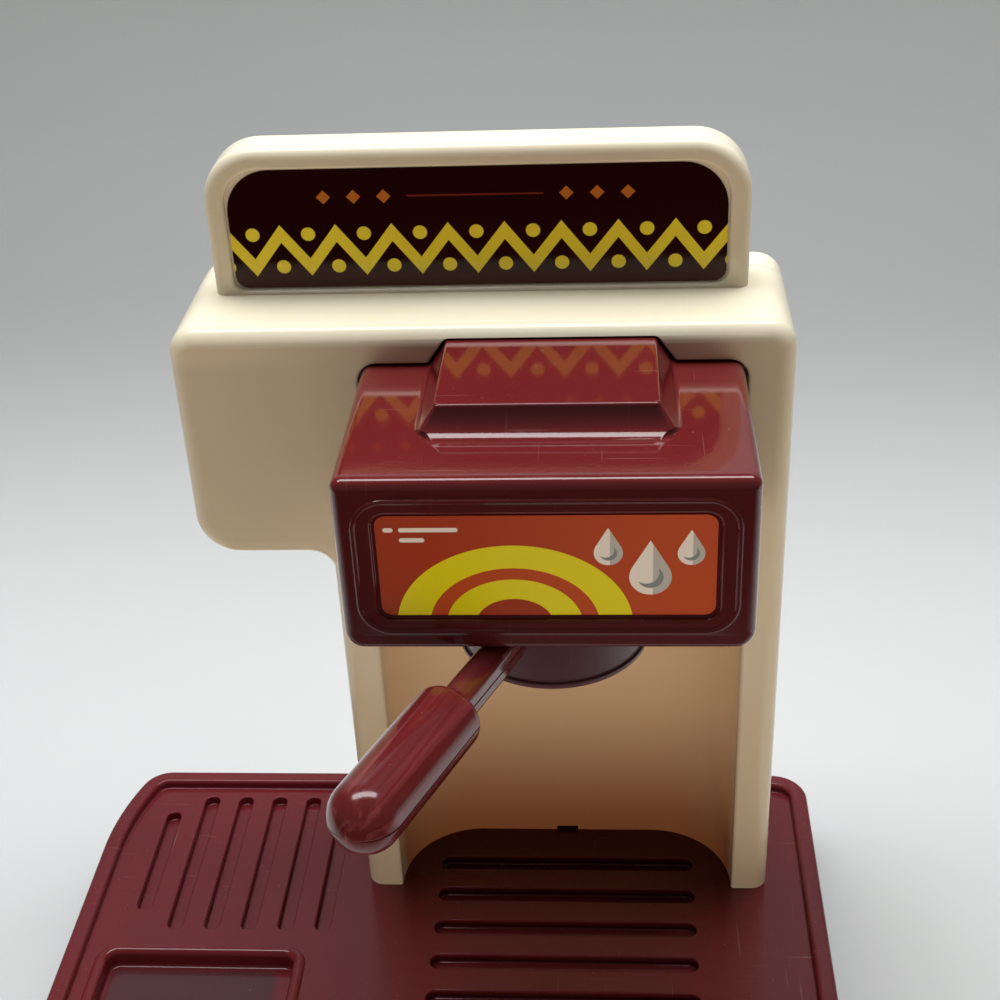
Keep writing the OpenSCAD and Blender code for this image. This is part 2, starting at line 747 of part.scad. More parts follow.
module tower_front_shell() {
    color(cream) at_tower() difference() {
        union() {
            intersection() {
                tower_outside();
                translate([block_x - cut, -cut, -cut]) cube([tower_w + block_out + 2 * cut, parting + cut,
                    tower_h + 2 * cut]);
                union() {
                    difference() {
                        translate([block_x - cut, -cut, -cut]) cube([tower_w + block_out + 2 * cut,
                            tower_d, tower_h + 2 * cut]);
                        tower_hollow();
                    }
                    // wall and ceiling of the niche
                    linear_extrude(head_z + tower_wall) niche_plan(tower_wall);
                }
            }
            // bosses that take the screws of the rear shell
            for (p = shell_screws) {
                translate([p[0], parting, p[1]]) rotate([90, 0, 0]) cylinder(r = boss_r,
                    h = parting - tower_wall + lap);
            }
            // bosses that carry the head's ears
            for (side = [-1, 1], z = ear_z) {
                translate([side * ear_x, head_back - ear_t, z]) rotate([90, 0, 0])
                    cylinder(r = boss_r, h = head_back - ear_t - tower_wall + lap);
            }
            // bosses in the foot, for the screws from the base
            for (p = foot_screws) {
                translate([p[0], p[1], 0]) cylinder(r = boss_r, h = foot_boss_h);
            }
        }
        translate([0, 0, -cut]) linear_extrude(head_z + cut) niche_plan(0);
        // drain notch at the foot of the niche's wall
        translate([-3.5, niche_d - cut, -cut]) cube([7, tower_wall + 2 * cut, 1.5 + cut]);
        // opening for the head
        upright(-cut, tower_wall + cut) head_view(head_side_gap, head_top_gap);
        for (p = shell_screws) {
            translate([p[0], parting + cut, p[1]]) rotate([90, 0, 0]) cylinder(r = shank_hole_r,
                h = shell_screw_l + cut);
        }
        for (side = [-1, 1], z = ear_z) {
            translate([side * ear_x, head_back - ear_t + cut, z]) rotate([90, 0, 0])
                cylinder(r = shank_hole_r, h = head_back - ear_t - tower_wall + 2 * cut - 0.8);
        }
        for (p = foot_screws) {
            translate([p[0], p[1], -cut]) cylinder(r = shank_hole_r, h = foot_boss_h - 1 + cut);
        }
        // slots and holes for the sign's tabs and screws
        translate([-sign_x, sign_foot_y, tower_h - tower_wall - cut]) {
            for (x = sign_tabs) {
                translate([x - tab_w / 2 - tab_gap, -tab_t / 2 - tab_gap, 0])
                    cube([tab_w + 2 * tab_gap, tab_t + 2 * tab_gap, tower_wall + 2 * cut]);
            }
            for (x = sign_screw_x) {
                translate([x, 0, 0]) cylinder(r = shank_hole_r, h = tower_wall + 2 * cut);
            }
        }
    }
}

module tower_rear_shell() {
    color(cream) at_tower() difference() {
        union() {
            intersection() {
                tower_outside();
                difference() {
                    translate([block_x - cut, parting, -cut]) cube([tower_w + block_out + 2 * cut,
                        rear_d + cut, tower_h + 2 * cut]);
                    tower_hollow();
                }
            }
            // sleeves round the screws
            for (p = shell_screws) {
                translate([p[0], tower_d - tower_wall + lap, p[1]]) rotate([90, 0, 0])
                    cylinder(r = head_hole_r + 1.4, h = rear_d - tower_wall + lap);
            }
        }
        for (p = shell_screws) {
            translate([p[0], tower_d + cut, p[1]]) rotate([90, 0, 0]) {
                cylinder(r = head_hole_r, h = tower_d - rear_seat + cut);
                cylinder(r = shank_hole_r, h = rear_d + 2 * cut);
            }
        }
    }
}

module tower_shell_screws() {
    color(steel) at_tower() {
        for (p = shell_screws) {
            translate([p[0], rear_seat, p[1]]) rotate([90, 0, 0]) screw(shell_screw_l);
        }
    }
}

// ------------------------------------------------------------------- sign

// Puts its children at the sign's place: x 0 in its middle, y 0 on its face
module at_sign() {
    at_tower() translate([-sign_x, sign_back, tower_h]) children();
}

// Front view of the sign, drawn in by some distance. Its foot is at some height
// and has corners of radius low_r.
module sign_view(inset, foot, low_r, top_r) {
    corner_rect(-sign_w / 2 + inset, foot, sign_w / 2 - inset, sign_h - inset,
        [low_r, low_r, top_r, top_r]);
}

module sign_board() {
    e = sign_edge_r;
    step = sign_edge_step;
    hollow = sign_wall + 1;
    color(cream) at_sign() {
        difference() {
            union() {
                difference() {
                    union() {
                        upright(e, sign_t - e) sign_view(0, 0, 0, sign_r);
                        upright(step, sign_t - step) sign_view(step, 0, 0, sign_r - step);
                        upright(0, sign_t) sign_view(e, 0, 0, sign_r - e);
                    }
                    // hollow, open at the foot
                    upright(sign_recess + sign_wall, sign_t - sign_wall)
                        sign_view(hollow, -cut, 0, sign_r - hollow);
                }
                for (x = sign_screw_x) {
                    translate([x, sign_t / 2, 0]) cylinder(r = boss_r + 0.4, h = sign_boss_h);
                }
                for (x = sign_tabs) {
                    translate([x - tab_w / 2, sign_t / 2 - tab_t / 2, -tab_l]) cube([tab_w, tab_t, tab_l + 6]);
                    translate([x - tab_w / 2, sign_recess + sign_wall - lap, 0])
                        cube([tab_w, sign_t - sign_recess - 2 * sign_wall + 2 * lap, 3]);
                }
            }
            // recess for the label
            upright(-cut, sign_recess)
                sign_view(sign_frame, sign_low_frame, sign_low_r, sign_r - sign_frame);
            for (x = sign_screw_x) {
                translate([x, sign_t / 2, -cut]) cylinder(r = shank_hole_r, h = sign_boss_h - 2 + cut);
            }
        }
    }
}

module sign_label() {
    color(label_brown) at_sign() upright(sign_recess - label_t, sign_recess)
        sign_view(sign_frame + label_gap / 2, sign_low_frame + label_gap / 2, sign_low_r,
            sign_label_r);
}

module sign_screws() {
    color(steel) at_tower() translate([-sign_x, sign_foot_y, tower_h - tower_wall]) {
        for (x = sign_screw_x) {
            translate([x, 0, 0]) screw(sign_screw_l);
        }
    }
}

// ------------------------------------------------------------------- head

// The outside of the head: a box with round edges and a hump on its top
module head_outside() {
    z1 = head_z + head_h;
    back = head_back;
    intersection() {
        upright(-head_out, back) corner_rect(-head_w / 2, head_z, head_w / 2, z1,
            [head_low_r, head_low_r, head_edge_r, head_edge_r]);
        sideways(-head_w / 2, head_w / 2) corner_rect(-head_out, head_z, back, z1,
            [head_edge_r / 2, 0, 0, head_edge_r]);
        translate([0, 0, head_z]) linear_extrude(head_h) corner_rect(-head_w / 2, -head_out,
            head_w / 2, back, [head_edge_r, head_edge_r, 0, 0]);
    }
    hump();
}

// Front view of the hump, drawn in by some distance
module hump_view(inset) {
    z1 = head_z + head_h - inset;
    foot = hump_foot_w / 2 - inset;
    tip = hump_top_w / 2 - inset;
    polygon([[-foot, z1 - head_edge_r], [foot, z1 - head_edge_r], [foot, z1],
        [tip + 1, z1 + hump_h - 1], [tip - 0.6, z1 + hump_h], [0.6 - tip, z1 + hump_h],
        [-tip - 1, z1 + hump_h - 1], [-foot, z1]]);
}

// The hump: its front is a hollow curve whose ends are cut off at an angle
module hump() {
    z1 = head_z + head_h;
    foot = hump_foot_w / 2;
    front = -head_out + hump_front;
    intersection() {
        upright(front, head_back) hump_view(0);
        sideways(-foot, foot) difference() {
            translate([front, z1 - head_edge_r]) square([head_back - front, hump_h + head_edge_r]);
            translate([front, z1 + hump_curve_r]) circle(hump_curve_r);
            translate([hump_edge_y, z1 + hump_h]) rotate(45) square(1, center = true);
        }
        translate([0, 0, z1 - head_edge_r]) linear_extrude(hump_h + head_edge_r) polygon([
            [foot - hump_cut_w, front], [foot, hump_edge_y], [foot, head_back], [-foot, head_back],
            [-foot, hump_edge_y], [hump_cut_w - foot, front]
        ]);
    }
}

module head_housing() {
    w = head_wall;
    z1 = head_z + head_h;
    color(burgundy) at_tower() difference() {
        union() {
            difference() {
                head_outside();
                // hollow, open at the back and at the foot
                upright(-head_out + w + recess_deep, head_back + cut) corner_rect(-head_w / 2 + w,
                    head_z - cut, head_w / 2 - w, z1 - w, [0, 0, 1, 1]);
                upright(hump_edge_y + w, head_back + cut) hump_view(w);
            }
            // bead line round the front panel
            upright(-head_out - line_h, -head_out + lap) difference() {
                round_rect(-panel_w / 2, panel_z, panel_w / 2, panel_z + panel_h, panel_r);
                round_rect(-panel_w / 2 + line_w, panel_z + line_w, panel_w / 2 - line_w,
                    panel_z + panel_h - line_w, panel_r - line_w);
            }
            // bosses for the floor's screws
            intersection() {
                for (p = floor_screws) {
                    translate([p[0], p[1], floor_z + floor_t]) cylinder(r = boss_r,
                        h = z1 - floor_z - floor_t - w + lap);
                }
                upright(-head_out, head_back) corner_rect(-head_w / 2, head_z, head_w / 2, z1,
                    [head_low_r, head_low_r, head_edge_r, head_edge_r]);
            }
            // ears behind the tower's front wall
            for (side = [-1, 1]) {
                x = side > 0 ? head_w / 2 - w : -ear_out;
                translate([x, head_back - ear_t, ear_z[0] - boss_r])
                    cube([ear_out - head_w / 2 + w, ear_t, ear_z[1] - ear_z[0] + 2 * boss_r]);
            }
        }
        // recess for the label
        upright(-head_out - cut, -head_out + recess_deep) round_rect(-recess_w / 2, recess_z,
            recess_w / 2, recess_z + recess_h, recess_r);
        // step over the niche's ceiling
        translate([-head_w / 2 - cut, -ceiling_gap, head_z - cut]) cube([head_w + 2 * cut,
            head_back + 2 * cut, tower_wall + ceiling_gap + cut]);
        for (p = floor_screws) {
            translate([p[0], p[1], floor_z + floor_t - cut]) cylinder(r = shank_hole_r,
                h = floor_screw_l + cut);
        }
        for (side = [-1, 1], z = ear_z) {
            translate([side * ear_x, head_back + cut, z]) rotate([90, 0, 0])
                cylinder(r = shank_hole_r, h = ear_t + 2 * cut);
        }
    }
}

module head_floor() {
    w = head_wall + floor_fit;
    color(dark_burgundy) at_tower() difference() {
        union() {
            translate([0, 0, floor_z]) linear_extrude(floor_t) round_rect(-head_w / 2 + w,
                -head_out + w + recess_deep, head_w / 2 - w, -2 * ceiling_gap, 1.5);
            translate([0, -pivot_out, 0]) {
                // pivot post and stop peg
                translate([0, 0, post_foot]) cylinder(r = post_r, h = floor_z - post_foot + lap);
                translate([0, peg_out, peg_foot]) cylinder(r = peg_r, h = floor_z - peg_foot + lap);
            }
        }
        translate([0, -pivot_out, post_foot - cut]) cylinder(r = pivot_shank_r + hole_gap,
            h = pivot_shank_l + cut);
        for (p = floor_screws) {
            translate([p[0], p[1], floor_z - cut]) cylinder(r = shank_hole_r, h = floor_t + 2 * cut);
        }
    }
}

module head_label() {
    color(label_orange) at_tower() upright(-head_out + recess_deep - label_t, -head_out + recess_deep)
        round_rect(-label_w / 2, recess_z + label_gap, label_w / 2, recess_z + label_gap + label_h,
            recess_r - label_gap);
}

module head_mount_screws() {
    color(steel) at_tower() {
        for (side = [-1, 1], z = ear_z) {
            translate([side * ear_x, head_back, z]) rotate([90, 0, 0]) screw(ear_screw_l);
        }
    }
}

module head_floor_screws() {
    color(steel) at_tower() {
        for (p = floor_screws) {
            translate([p[0], p[1], floor_z]) screw(floor_screw_l);
        }
    }
}

// ------------------------------------------------------------- portafilter

module pivot_washer() {
    color(steel) at_pivot() translate([0, 0, post_foot - washer_t]) difference() {
        cylinder(r = washer_r, h = washer_t);
        translate([0, 0, -cut]) cylinder(r = pivot_shank_r + hole_gap, h = washer_t + 2 * cut);
    }
}

module friction_washer() {
    color(steel) at_pivot() translate([0, 0, post_foot]) difference() {
        cylinder(r = washer_r - 0.4, h = friction_t);
        translate([0, 0, -cut]) cylinder(r = post_r + 0.1, h = friction_t + 2 * cut);
    }
}

module pivot_screw() {
    color(steel) at_pivot() translate([0, 0, post_foot - washer_t])
        screw(pivot_shank_l, pivot_shank_r, pivot_head_r, pivot_head_h);
}

module filter_cup() {
    z0 = cup_foot;
    t = cup_wall;
    color(dark_burgundy) difference() {
        union() {
            at_pivot() {
                rotate_extrude() polygon([
                    [well_r, z0], [cup_r + cup_lip - cup_lip_edge, z0],
                    [cup_r + cup_lip, z0 + cup_lip_edge], [cup_r + cup_lip, z0 + cup_lip_h],
                    [cup_r, z0 + cup_lip_h + cup_lip_edge], [cup_r, cup_top], [cup_r - t, cup_top],
                    [cup_r - t, z0 + t], [well_out, z0 + t], [well_out, hub_foot + t],
                    [hub_r + hub_wall, hub_foot + t], [hub_r + hub_wall, cup_top],
                    [hub_r, cup_top], [hub_r, hub_foot], [well_r, hub_foot]
                ]);
                // ribs that meet the stop peg at either end of the swing
                for (a = [90 + swing_left - handle_turn + stop_angle,
                        90 - swing_right - handle_turn - stop_angle]) {
                    rotate([0, 0, a]) translate([well_out - lap, -rib_t / 2, z0 + t - lap])
                        cube([cup_r - t - well_out + 2 * lap, rib_t, rib_top - z0 - t + lap]);
                }
            }
            // socket for the handle's tenon
            intersection() {
                at_handle() translate([well_out - 2 * lap, -tenon_w / 2 - socket_wall,
                        z0 + t - lap - handle_z])
                    cube([cup_r - well_out + 2 * lap, tenon_w + 2 * socket_wall, cup_h - t]);
                at_pivot() translate([0, 0, z0]) cylinder(r = cup_r - lap, h = cup_h);
            }
        }
        at_handle() {
            g = tenon_w / 2 + tenon_gap;
            translate([tenon_start - 0.2, -g, -g]) cube([cup_r, 2 * g, 2 * g]);
            // the root screw's hole and the well for its head
            translate([root_screw_out, 0, z0 - handle_z]) {
                translate([0, 0, -cut]) cylinder(r = head_hole_r,
                    h = handle_z - z0 - g - root_seat_t + cut);
                cylinder(r = shank_hole_r, h = handle_z - z0 - g - root_seat_t + root_screw_l + 0.2);
            }
        }
    }
}

// The handle's plan at its seam, drawn in by some distance
module handle_plan(inset) {
    translate([bar_start + inset, -bar_w / 2 + inset])
        square([grip_start - bar_start + 5, bar_w - 2 * inset]);
    corner_rect(grip_start + inset, -grip_r + inset, grip_reach, grip_r - inset,
        [grip_edge_r - inset, 0, 0, grip_edge_r - inset]);
    translate([grip_reach, 0]) circle(grip_r - inset);
}

// The whole handle before it is split: tenon, bar and grip along x
module handle_whole() {
    translate([tenon_start, -tenon_w / 2, -tenon_w / 2])
        cube([bar_start - tenon_start + 1, tenon_w, tenon_w]);
    translate([bar_start, 0, 0]) rotate([90, 0, 90]) linear_extrude(grip_start - bar_start + 3)
        round_rect(-bar_w / 2, -bar_w / 2, bar_w / 2, bar_w / 2, bar_edge_r);
    difference() {
        rotate([0, 90, 0]) rotate_extrude() grip_half_view(0);
        rotate([0, 90, 0]) rotate_extrude() grip_half_view(grip_wall);
    }
}

// Half of the grip's section, radius against distance from the pivot
module grip_half_view(inset) {
    e = grip_edge_r - min(inset, grip_edge_r - 0.5);
    r = grip_r - inset;
    s = grip_start + inset * 1.5;
    intersection() {
        union() {
            translate([0, s + e]) square([r, grip_reach - s - e]);
            translate([0, s]) square([r - e, e + 1]);
            translate([r - e, s + e]) circle(e);
            translate([0, grip_reach]) circle(r);
        }
        translate([0, s]) square([grip_r + 1, grip_reach + grip_r]);
    }
}

// Bosses that hold the screws of the grip
module grip_bosses() {
    intersection() {
        for (s = grip_boss_s) {
            translate([s, 0, -grip_r]) cylinder(r = boss_r, h = 2 * grip_r);
        }
        rotate([0, 90, 0]) rotate_extrude() grip_half_view(0.6);
    }
}

// The groove along the seam
module seam_groove() {
    translate([0, 0, -seam_w / 2]) linear_extrude(seam_w) difference() {
        translate([bar_start + 0.5, -grip_r - 1]) square([grip_reach + 2 * grip_r, 2 * grip_r + 2]);
        handle_plan(seam_deep);
    }
}

// Keeps the part of its children above (1) or below (-1) the seam
module half(side) {
    intersection() {
        children();
        translate([0, -grip_r - 1, side > 0 ? 0 : -grip_r - 1])
            cube([grip_reach + 2 * grip_r, 2 * grip_r + 2, grip_r + 1]);
    }
}

module root_hole() {
    translate([root_screw_out, 0, -tenon_w]) cylinder(r = shank_hole_r, h = 2 * tenon_w);
}

module handle_upper_half() {
    color(burgundy) at_handle() difference() {
        half(1) union() {
            handle_whole();
            grip_bosses();
        }
        seam_groove();
        root_hole();
        for (s = grip_boss_s) {
            translate([s, 0, -cut]) cylinder(r = shank_hole_r, h = grip_r - grip_wall - 0.5 + cut);
        }
    }
}

module handle_lower_half() {
    color(burgundy) at_handle() difference() {
        half(-1) union() {
            handle_whole();
            grip_bosses();
        }
        seam_groove();
        root_hole();
        for (s = grip_boss_s) {
            translate([s, 0, -grip_r - cut]) {
                cylinder(r = shank_hole_r, h = grip_r + 2 * cut);
                cylinder(r = head_hole_r, h = head_sink + 1 + cut);
            }
        }
    }
}

module handle_shell_screws() {
    color(steel) at_handle() {
        for (s = grip_boss_s) {
            translate([s, 0, -grip_r + head_sink + 1]) screw(grip_screw_l);
        }
    }
}

module handle_root_screw() {
    g = tenon_w / 2 + tenon_gap;
    color(steel) at_handle() translate([root_screw_out, 0, -g - root_seat_t]) screw(root_screw_l);
}

base_tray();
base_bottom_plate();
base_plate_screws();
tower_base_screws();
tower_front_shell();
tower_rear_shell();
tower_shell_screws();
sign_board();
sign_label();
sign_screws();
head_housing();
head_floor();
head_label();
head_mount_screws();
head_floor_screws();
pivot_screw();
pivot_washer();
friction_washer();
filter_cup();
handle_upper_half();
handle_lower_half();
handle_shell_screws();
handle_root_screw();
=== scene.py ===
from math import acos, asin, atan2, copysign, cos, degrees, pi, radians, sin, sqrt, tan, tau

import bmesh
import bpy
from mathutils import Matrix, Vector
from mathutils.geometry import tessellate_polygon


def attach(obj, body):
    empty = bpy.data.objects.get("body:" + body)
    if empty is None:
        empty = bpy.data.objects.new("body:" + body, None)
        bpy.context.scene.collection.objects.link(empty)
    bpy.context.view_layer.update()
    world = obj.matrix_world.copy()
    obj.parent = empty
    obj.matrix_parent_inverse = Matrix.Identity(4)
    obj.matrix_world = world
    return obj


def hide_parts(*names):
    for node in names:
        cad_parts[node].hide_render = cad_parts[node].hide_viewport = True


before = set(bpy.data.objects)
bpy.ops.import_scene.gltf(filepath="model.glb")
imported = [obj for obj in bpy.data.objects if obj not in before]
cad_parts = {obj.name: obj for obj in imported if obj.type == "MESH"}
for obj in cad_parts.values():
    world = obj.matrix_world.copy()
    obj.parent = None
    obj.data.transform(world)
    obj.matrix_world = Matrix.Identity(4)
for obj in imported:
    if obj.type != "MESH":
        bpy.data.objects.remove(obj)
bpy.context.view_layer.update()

# ---------------- camera
# The camera stands in front of the toy and above it, where the photographer's
# lens was. It looks 31 degrees down and is turned a little to the left.
CAMERA_PLACE = (0.052646, -0.348995, 0.390523)
CAMERA_DOWN, CAMERA_LEFT, CAMERA_TILT = 31.14, 4.731, -2.819
LENS, SENSOR, NEAREST, FARTHEST = 57.585, 36, 0.01, 20

studio = bpy.context.scene


def added(name, data):
    """A new object in the scene."""
    made = bpy.data.objects.new(name, data)
    studio.collection.objects.link(made)
    return made


camera = added("camera", bpy.data.cameras.new("camera"))
camera.data.lens, camera.data.sensor_width = LENS, SENSOR
camera.data.clip_start, camera.data.clip_end = NEAREST, FARTHEST
view = Matrix.Translation(CAMERA_PLACE)
for turn, axis in ((CAMERA_LEFT, "Z"), (90 - CAMERA_DOWN, "X"), (CAMERA_TILT, "Z")):
    view = view @ Matrix.Rotation(radians(turn), 4, axis)
camera.matrix_world = view
studio.camera = camera

# ---------------- studio
# A white table top that runs up into a grey wall, under a wide soft box and a
# narrow strip light, with a weak warm light from the front near the table.
studio.view_settings.view_transform = "Standard"


def lamp(name, place, aim, size, watts, colour, mirrored):
    """A soft box at place that points at aim, in metres, seen in reflections or not."""
    light = bpy.data.lights.new(name, "AREA")
    light.shape, light.size, light.size_y = "RECTANGLE", size[0], size[1]
    light.energy, light.color = watts, colour
    box = added(name, light)
    way = Vector(aim) - Vector(place)
    box.matrix_world = Matrix.Translation(place) @ way.to_track_quat("-Z", "Y").to_matrix().to_4x4()
    box.visible_glossy = mirrored


lamp("top_soft_box", (0, 0.35, 1.15), (0.02, 0, 0.1), (1.3, 0.7), 17, (0.92, 0.98, 1), False)
lamp("top_strip", (0, 0.1, 1.15), (0.02, 0, 0.1), (1.2, 0.3), 7, (1, 1, 1), True)
lamp("low_fill", (0.04, -0.42, 0.1), (0.037, 0.03, 0.08), (0.45, 0.12), 0.5, (1, 0.8, 0.62), False)

SWEEP_HALF = 3
SWEEP = [(-2.5, 0), (0.33, 0), (0.45, 0.006), (0.55, 0.03),
         (0.64, 0.08), (0.7, 0.16), (0.73, 0.3), (0.74, 2)]
backdrop_mesh = bpy.data.meshes.new("backdrop")
points = [(side * SWEEP_HALF, y, z) for y, z in SWEEP for side in (-1, 1)]
sheets = [(2 * i, 2 * i + 1, 2 * i + 3, 2 * i + 2) for i in range(len(SWEEP) - 1)]
backdrop_mesh.from_pydata(points, [], sheets)
backdrop_mesh.shade_smooth()
added("backdrop", backdrop_mesh)


class Nodes:
    """Short calls to place and join the nodes of a material or a node group."""

    def __init__(self, tree):
        self.tree = tree

    def add(self, kind, inputs=None, **settings):
        node = self.tree.nodes.new(kind)
        for key, value in settings.items():
            setattr(node, key, value)
        return self.give(node, inputs or {})

    def give(self, node, inputs):
        """The node, with each of its inputs linked to a socket or set to a value."""
        for key, value in inputs.items():
            if isinstance(value, bpy.types.NodeSocket):
                self.tree.links.new(value, node.inputs[key])
            else:
                node.inputs[key].default_value = value
        return node

    def first(self, kind, inputs, **settings):
        """The first output of a new node."""
        return self.add(kind, inputs, **settings).outputs[0]

    def math(self, operation, a, b=0, c=0):
        return self.first("ShaderNodeMath", {0: a, 1: b, 2: c}, operation=operation)

    def less(self, value, amount):
        return self.math("SUBTRACT", value, amount)

    def product(self, first, *others):
        for other in others:
            first = self.math("MULTIPLY", first, other)
        return first

    def apart(self, value, middle):
        """How far a value lies from a middle one."""
        return self.math("ABSOLUTE", self.less(value, middle))

    def ramp(self, value, low, high, out_low=0, out_high=1):
        """A smooth step of value from low to high."""
        return self.first("ShaderNodeMapRange", {
            "Value": value, "From Min": low, "From Max": high, "To Min": out_low, "To Max": out_high,
        }, interpolation_type="SMOOTHSTEP")

    def mix(self, share, a, b):
        """Colour a, or b where share is 1."""
        return self.add("ShaderNodeMix", {0: share, 6: a, 7: b}, data_type="RGBA").outputs[2]

    def place(self):
        return self.add("ShaderNodeTexCoord").outputs["Object"]

    def split(self, vector):
        return self.add("ShaderNodeSeparateXYZ", {0: vector}).outputs

    def facing(self):
        """The X, Y and Z of the surface's normal."""
        return self.split(self.add("ShaderNodeNewGeometry").outputs["Normal"])

    def noise(self, place, scale, detail=2, **more):
        """A cloudy mask with about so many clouds in a metre."""
        inputs = {"Vector": place, "Scale": scale, "Detail": detail, **more}
        return self.first("ShaderNodeTexNoise", inputs)

    def bump(self, mask, height, normal=None):
        """The normal where a mask rises by so many metres."""
        inputs = {"Height": self.product(mask, height), "Distance": 1}
        if normal is not None:
            inputs["Normal"] = normal
        return self.first("ShaderNodeBump", inputs)


def material(name, kind=Nodes):
    """A new material with its Principled BSDF, as (material, Nodes, BSDF)."""
    made = bpy.data.materials.new(name)
    made.use_nodes = True
    return made, kind(made.node_tree), made.node_tree.nodes["Principled BSDF"]


PALE_ROOM, DIM_ROOM, BLACK = (0.66, 0.67, 0.67, 1), (0.09, 0.08, 0.068, 1), (0, 0, 0, 1)
world = bpy.data.worlds.new("room")
world.use_nodes = True
n = Nodes(world.node_tree)
seen = n.add("ShaderNodeLightPath").outputs["Is Camera Ray"]
n.give(world.node_tree.nodes["Background"], {"Color": n.mix(seen, DIM_ROOM, PALE_ROOM)})
studio.world = world

paper, n, bsdf = material("backdrop_paper")
place = n.place()
spot = n.split(place)
far = spot["Y"]
tone = n.mix(n.ramp(far, 0.1, 0.52), (0.5, 0.51, 0.52, 1), (0.26, 0.265, 0.27, 1))
tone = n.mix(n.ramp(n.noise(place, 3), 0.2, 0.8, 0, 0.04), tone, (0.6, 0.6, 0.6, 1))
# reflections find a dark room in front of the table, and warm light bounces off the table
path = n.add("ShaderNodeLightPath").outputs
mirrored = n.mix(n.ramp(far, -0.3, -0.02), (0.012, 0.009, 0.008, 1), tone)
bounced = n.mix(path["Is Diffuse Ray"], mirrored, (0.69, 0.605, 0.49, 1))
tone = n.mix(path["Is Camera Ray"], bounced, tone)
# past the lamps' reach the table is as pale as the room behind it
aside = n.ramp(n.math("ABSOLUTE", spot["X"]), 0.38, 0.9)
beyond = n.product(n.math("MAXIMUM", aside, n.ramp(far, -0.35, -0.95)), path["Is Camera Ray"])
n.give(bsdf, {"Base Color": n.mix(beyond, tone, BLACK), "Emission Color": n.mix(beyond, BLACK, PALE_ROOM),
              "Emission Strength": 1, "Roughness": 0.75, "Specular IOR Level": 0.2})
backdrop_mesh.materials.append(paper)


# ---------------- base tray
# The wide burgundy tray: a glossy, hollow moulding, open below, whose round
# rim stops behind the tower. Grooves, slots and a pocket are sunk into its top.
def group(kind, name, inputs, outputs):
    """A new node group with sockets {name: type}, as (group, Nodes, its input sockets)."""
    tree = bpy.data.node_groups.new(name, kind)
    for way, sockets in (("INPUT", inputs), ("OUTPUT", outputs)):
        for label, sort in sockets.items():
            tree.interface.new_socket(label, in_out=way, socket_type="NodeSocket" + sort)
    nodes = Nodes(tree)
    return tree, nodes, nodes.add("NodeGroupInput").outputs


mould_skin, n, given = group(
    "ShaderNodeTree", "mould_skin", {"Wave Height": "Float", "Scratches": "Float"},
    {"Normal": "Vector", "Scratch": "Float", "Patches": "Float", "Dust": "Float"})
place = n.place()
fine_lines = []
for turns, stretch, low in (((0.4, 0.7, 0.5), (40, 900, 40), 0.7), ((1.3, 0.2, 2.1), (1100, 35, 35), 0.71)):
    turned = n.first("ShaderNodeMapping", {"Vector": place, "Rotation": turns, "Scale": stretch})
    fine_lines.append(n.ramp(n.noise(turned, 1, 1), low, low + 0.08))
worn = n.noise(place, 11, 3)
scratch = n.product(n.math("MAXIMUM", *fine_lines), n.ramp(worn, 0.45, 0.65), given["Scratches"])
normal = n.bump(n.noise(place, 26, 1.5, Roughness=0.4), given["Wave Height"])
normal = n.bump(n.noise(place, 900), 0.000012, normal)
normal = n.bump(scratch, -0.00002, normal)
specks = n.ramp(n.noise(place, 1500, 1), 0.74, 0.82)
lying = n.product(n.ramp(n.facing()["Z"], 0.6, 1), specks, 0.12)
n.add("NodeGroupOutput", {"Normal": normal, "Scratch": scratch, "Patches": worn, "Dust": lying})


def plastic(name, colour, deep, rough, coat=0, painted_light_tint=None, streaks=None):
    """Moulded plastic of some colour that is a shade deeper in patches, with painted light from a tint where
    one is given.
    """
    made, n, bsdf = material(name)
    skin = n.add("ShaderNodeGroup", {"Wave Height": 0.00012, "Scratches": 0.5}, node_tree=mould_skin).outputs
    place = n.place()
    tone = n.mix(n.ramp(n.noise(place, 14, 4), 0.3, 0.7), (*colour, 1), (*deep, 1))
    # the tint paints light or shade into the tone
    if painted_light_tint:
        tone = painted_light_tint(n, place, tone)
    tone = n.mix(skin["Dust"], tone, (0.75, 0.72, 0.68, 1))
    tone = n.mix(n.product(skin["Scratch"], 0.12), tone, (0.8, 0.76, 0.72, 1))
    marks = n.math("ADD", n.product(skin["Scratch"], 0.15), skin["Dust"])
    rough_at = n.math("ADD", n.ramp(skin["Patches"], 0.3, 0.7, rough * 0.85, rough * 1.2), marks)
    normal = skin["Normal"]
    if streaks:
        rough_at, normal = streaks(n, place, rough_at, normal)
    n.give(bsdf, {"Base Color": tone, "Roughness": rough_at, "Normal": normal,
                  "IOR": 1.5, "Coat Weight": coat, "Coat Roughness": 0.05})
    return made


TOWER_X, TOWER_Y, BASE_H = 36.8, 24, 20


def tray_shade(n, place, tone):
    """The tray's tone, with painted shade on the pocket's floor and a painted shade and reflection that
    deepens towards the niche.
    """
    spot = n.split(place)
    aside, ahead = n.apart(spot["X"], -0.0765), n.apart(spot["Y"], -0.0328)
    # painted shade on the pocket's sunken floor
    pocket_shade = n.product(n.ramp(aside, 0.0275, 0.0235), n.ramp(ahead, 0.026, 0.022),
                       n.ramp(spot["Z"], 0.0172, 0.0162))
    # painted shade and reflection of the dark niche on the tray in front of the tower
    niche = n.product(n.ramp(n.apart(spot["X"], TOWER_X / 1000), 0.06, 0.048),
                      n.ramp(spot["Y"], -0.01, 0.04), n.ramp(spot["Y"], 0.06, 0.055))
    return n.mix(pocket_shade, n.mix(niche, tone, (0.04, 0.001, 0.0005, 1)), (0.062, 0.02, 0.022, 1))


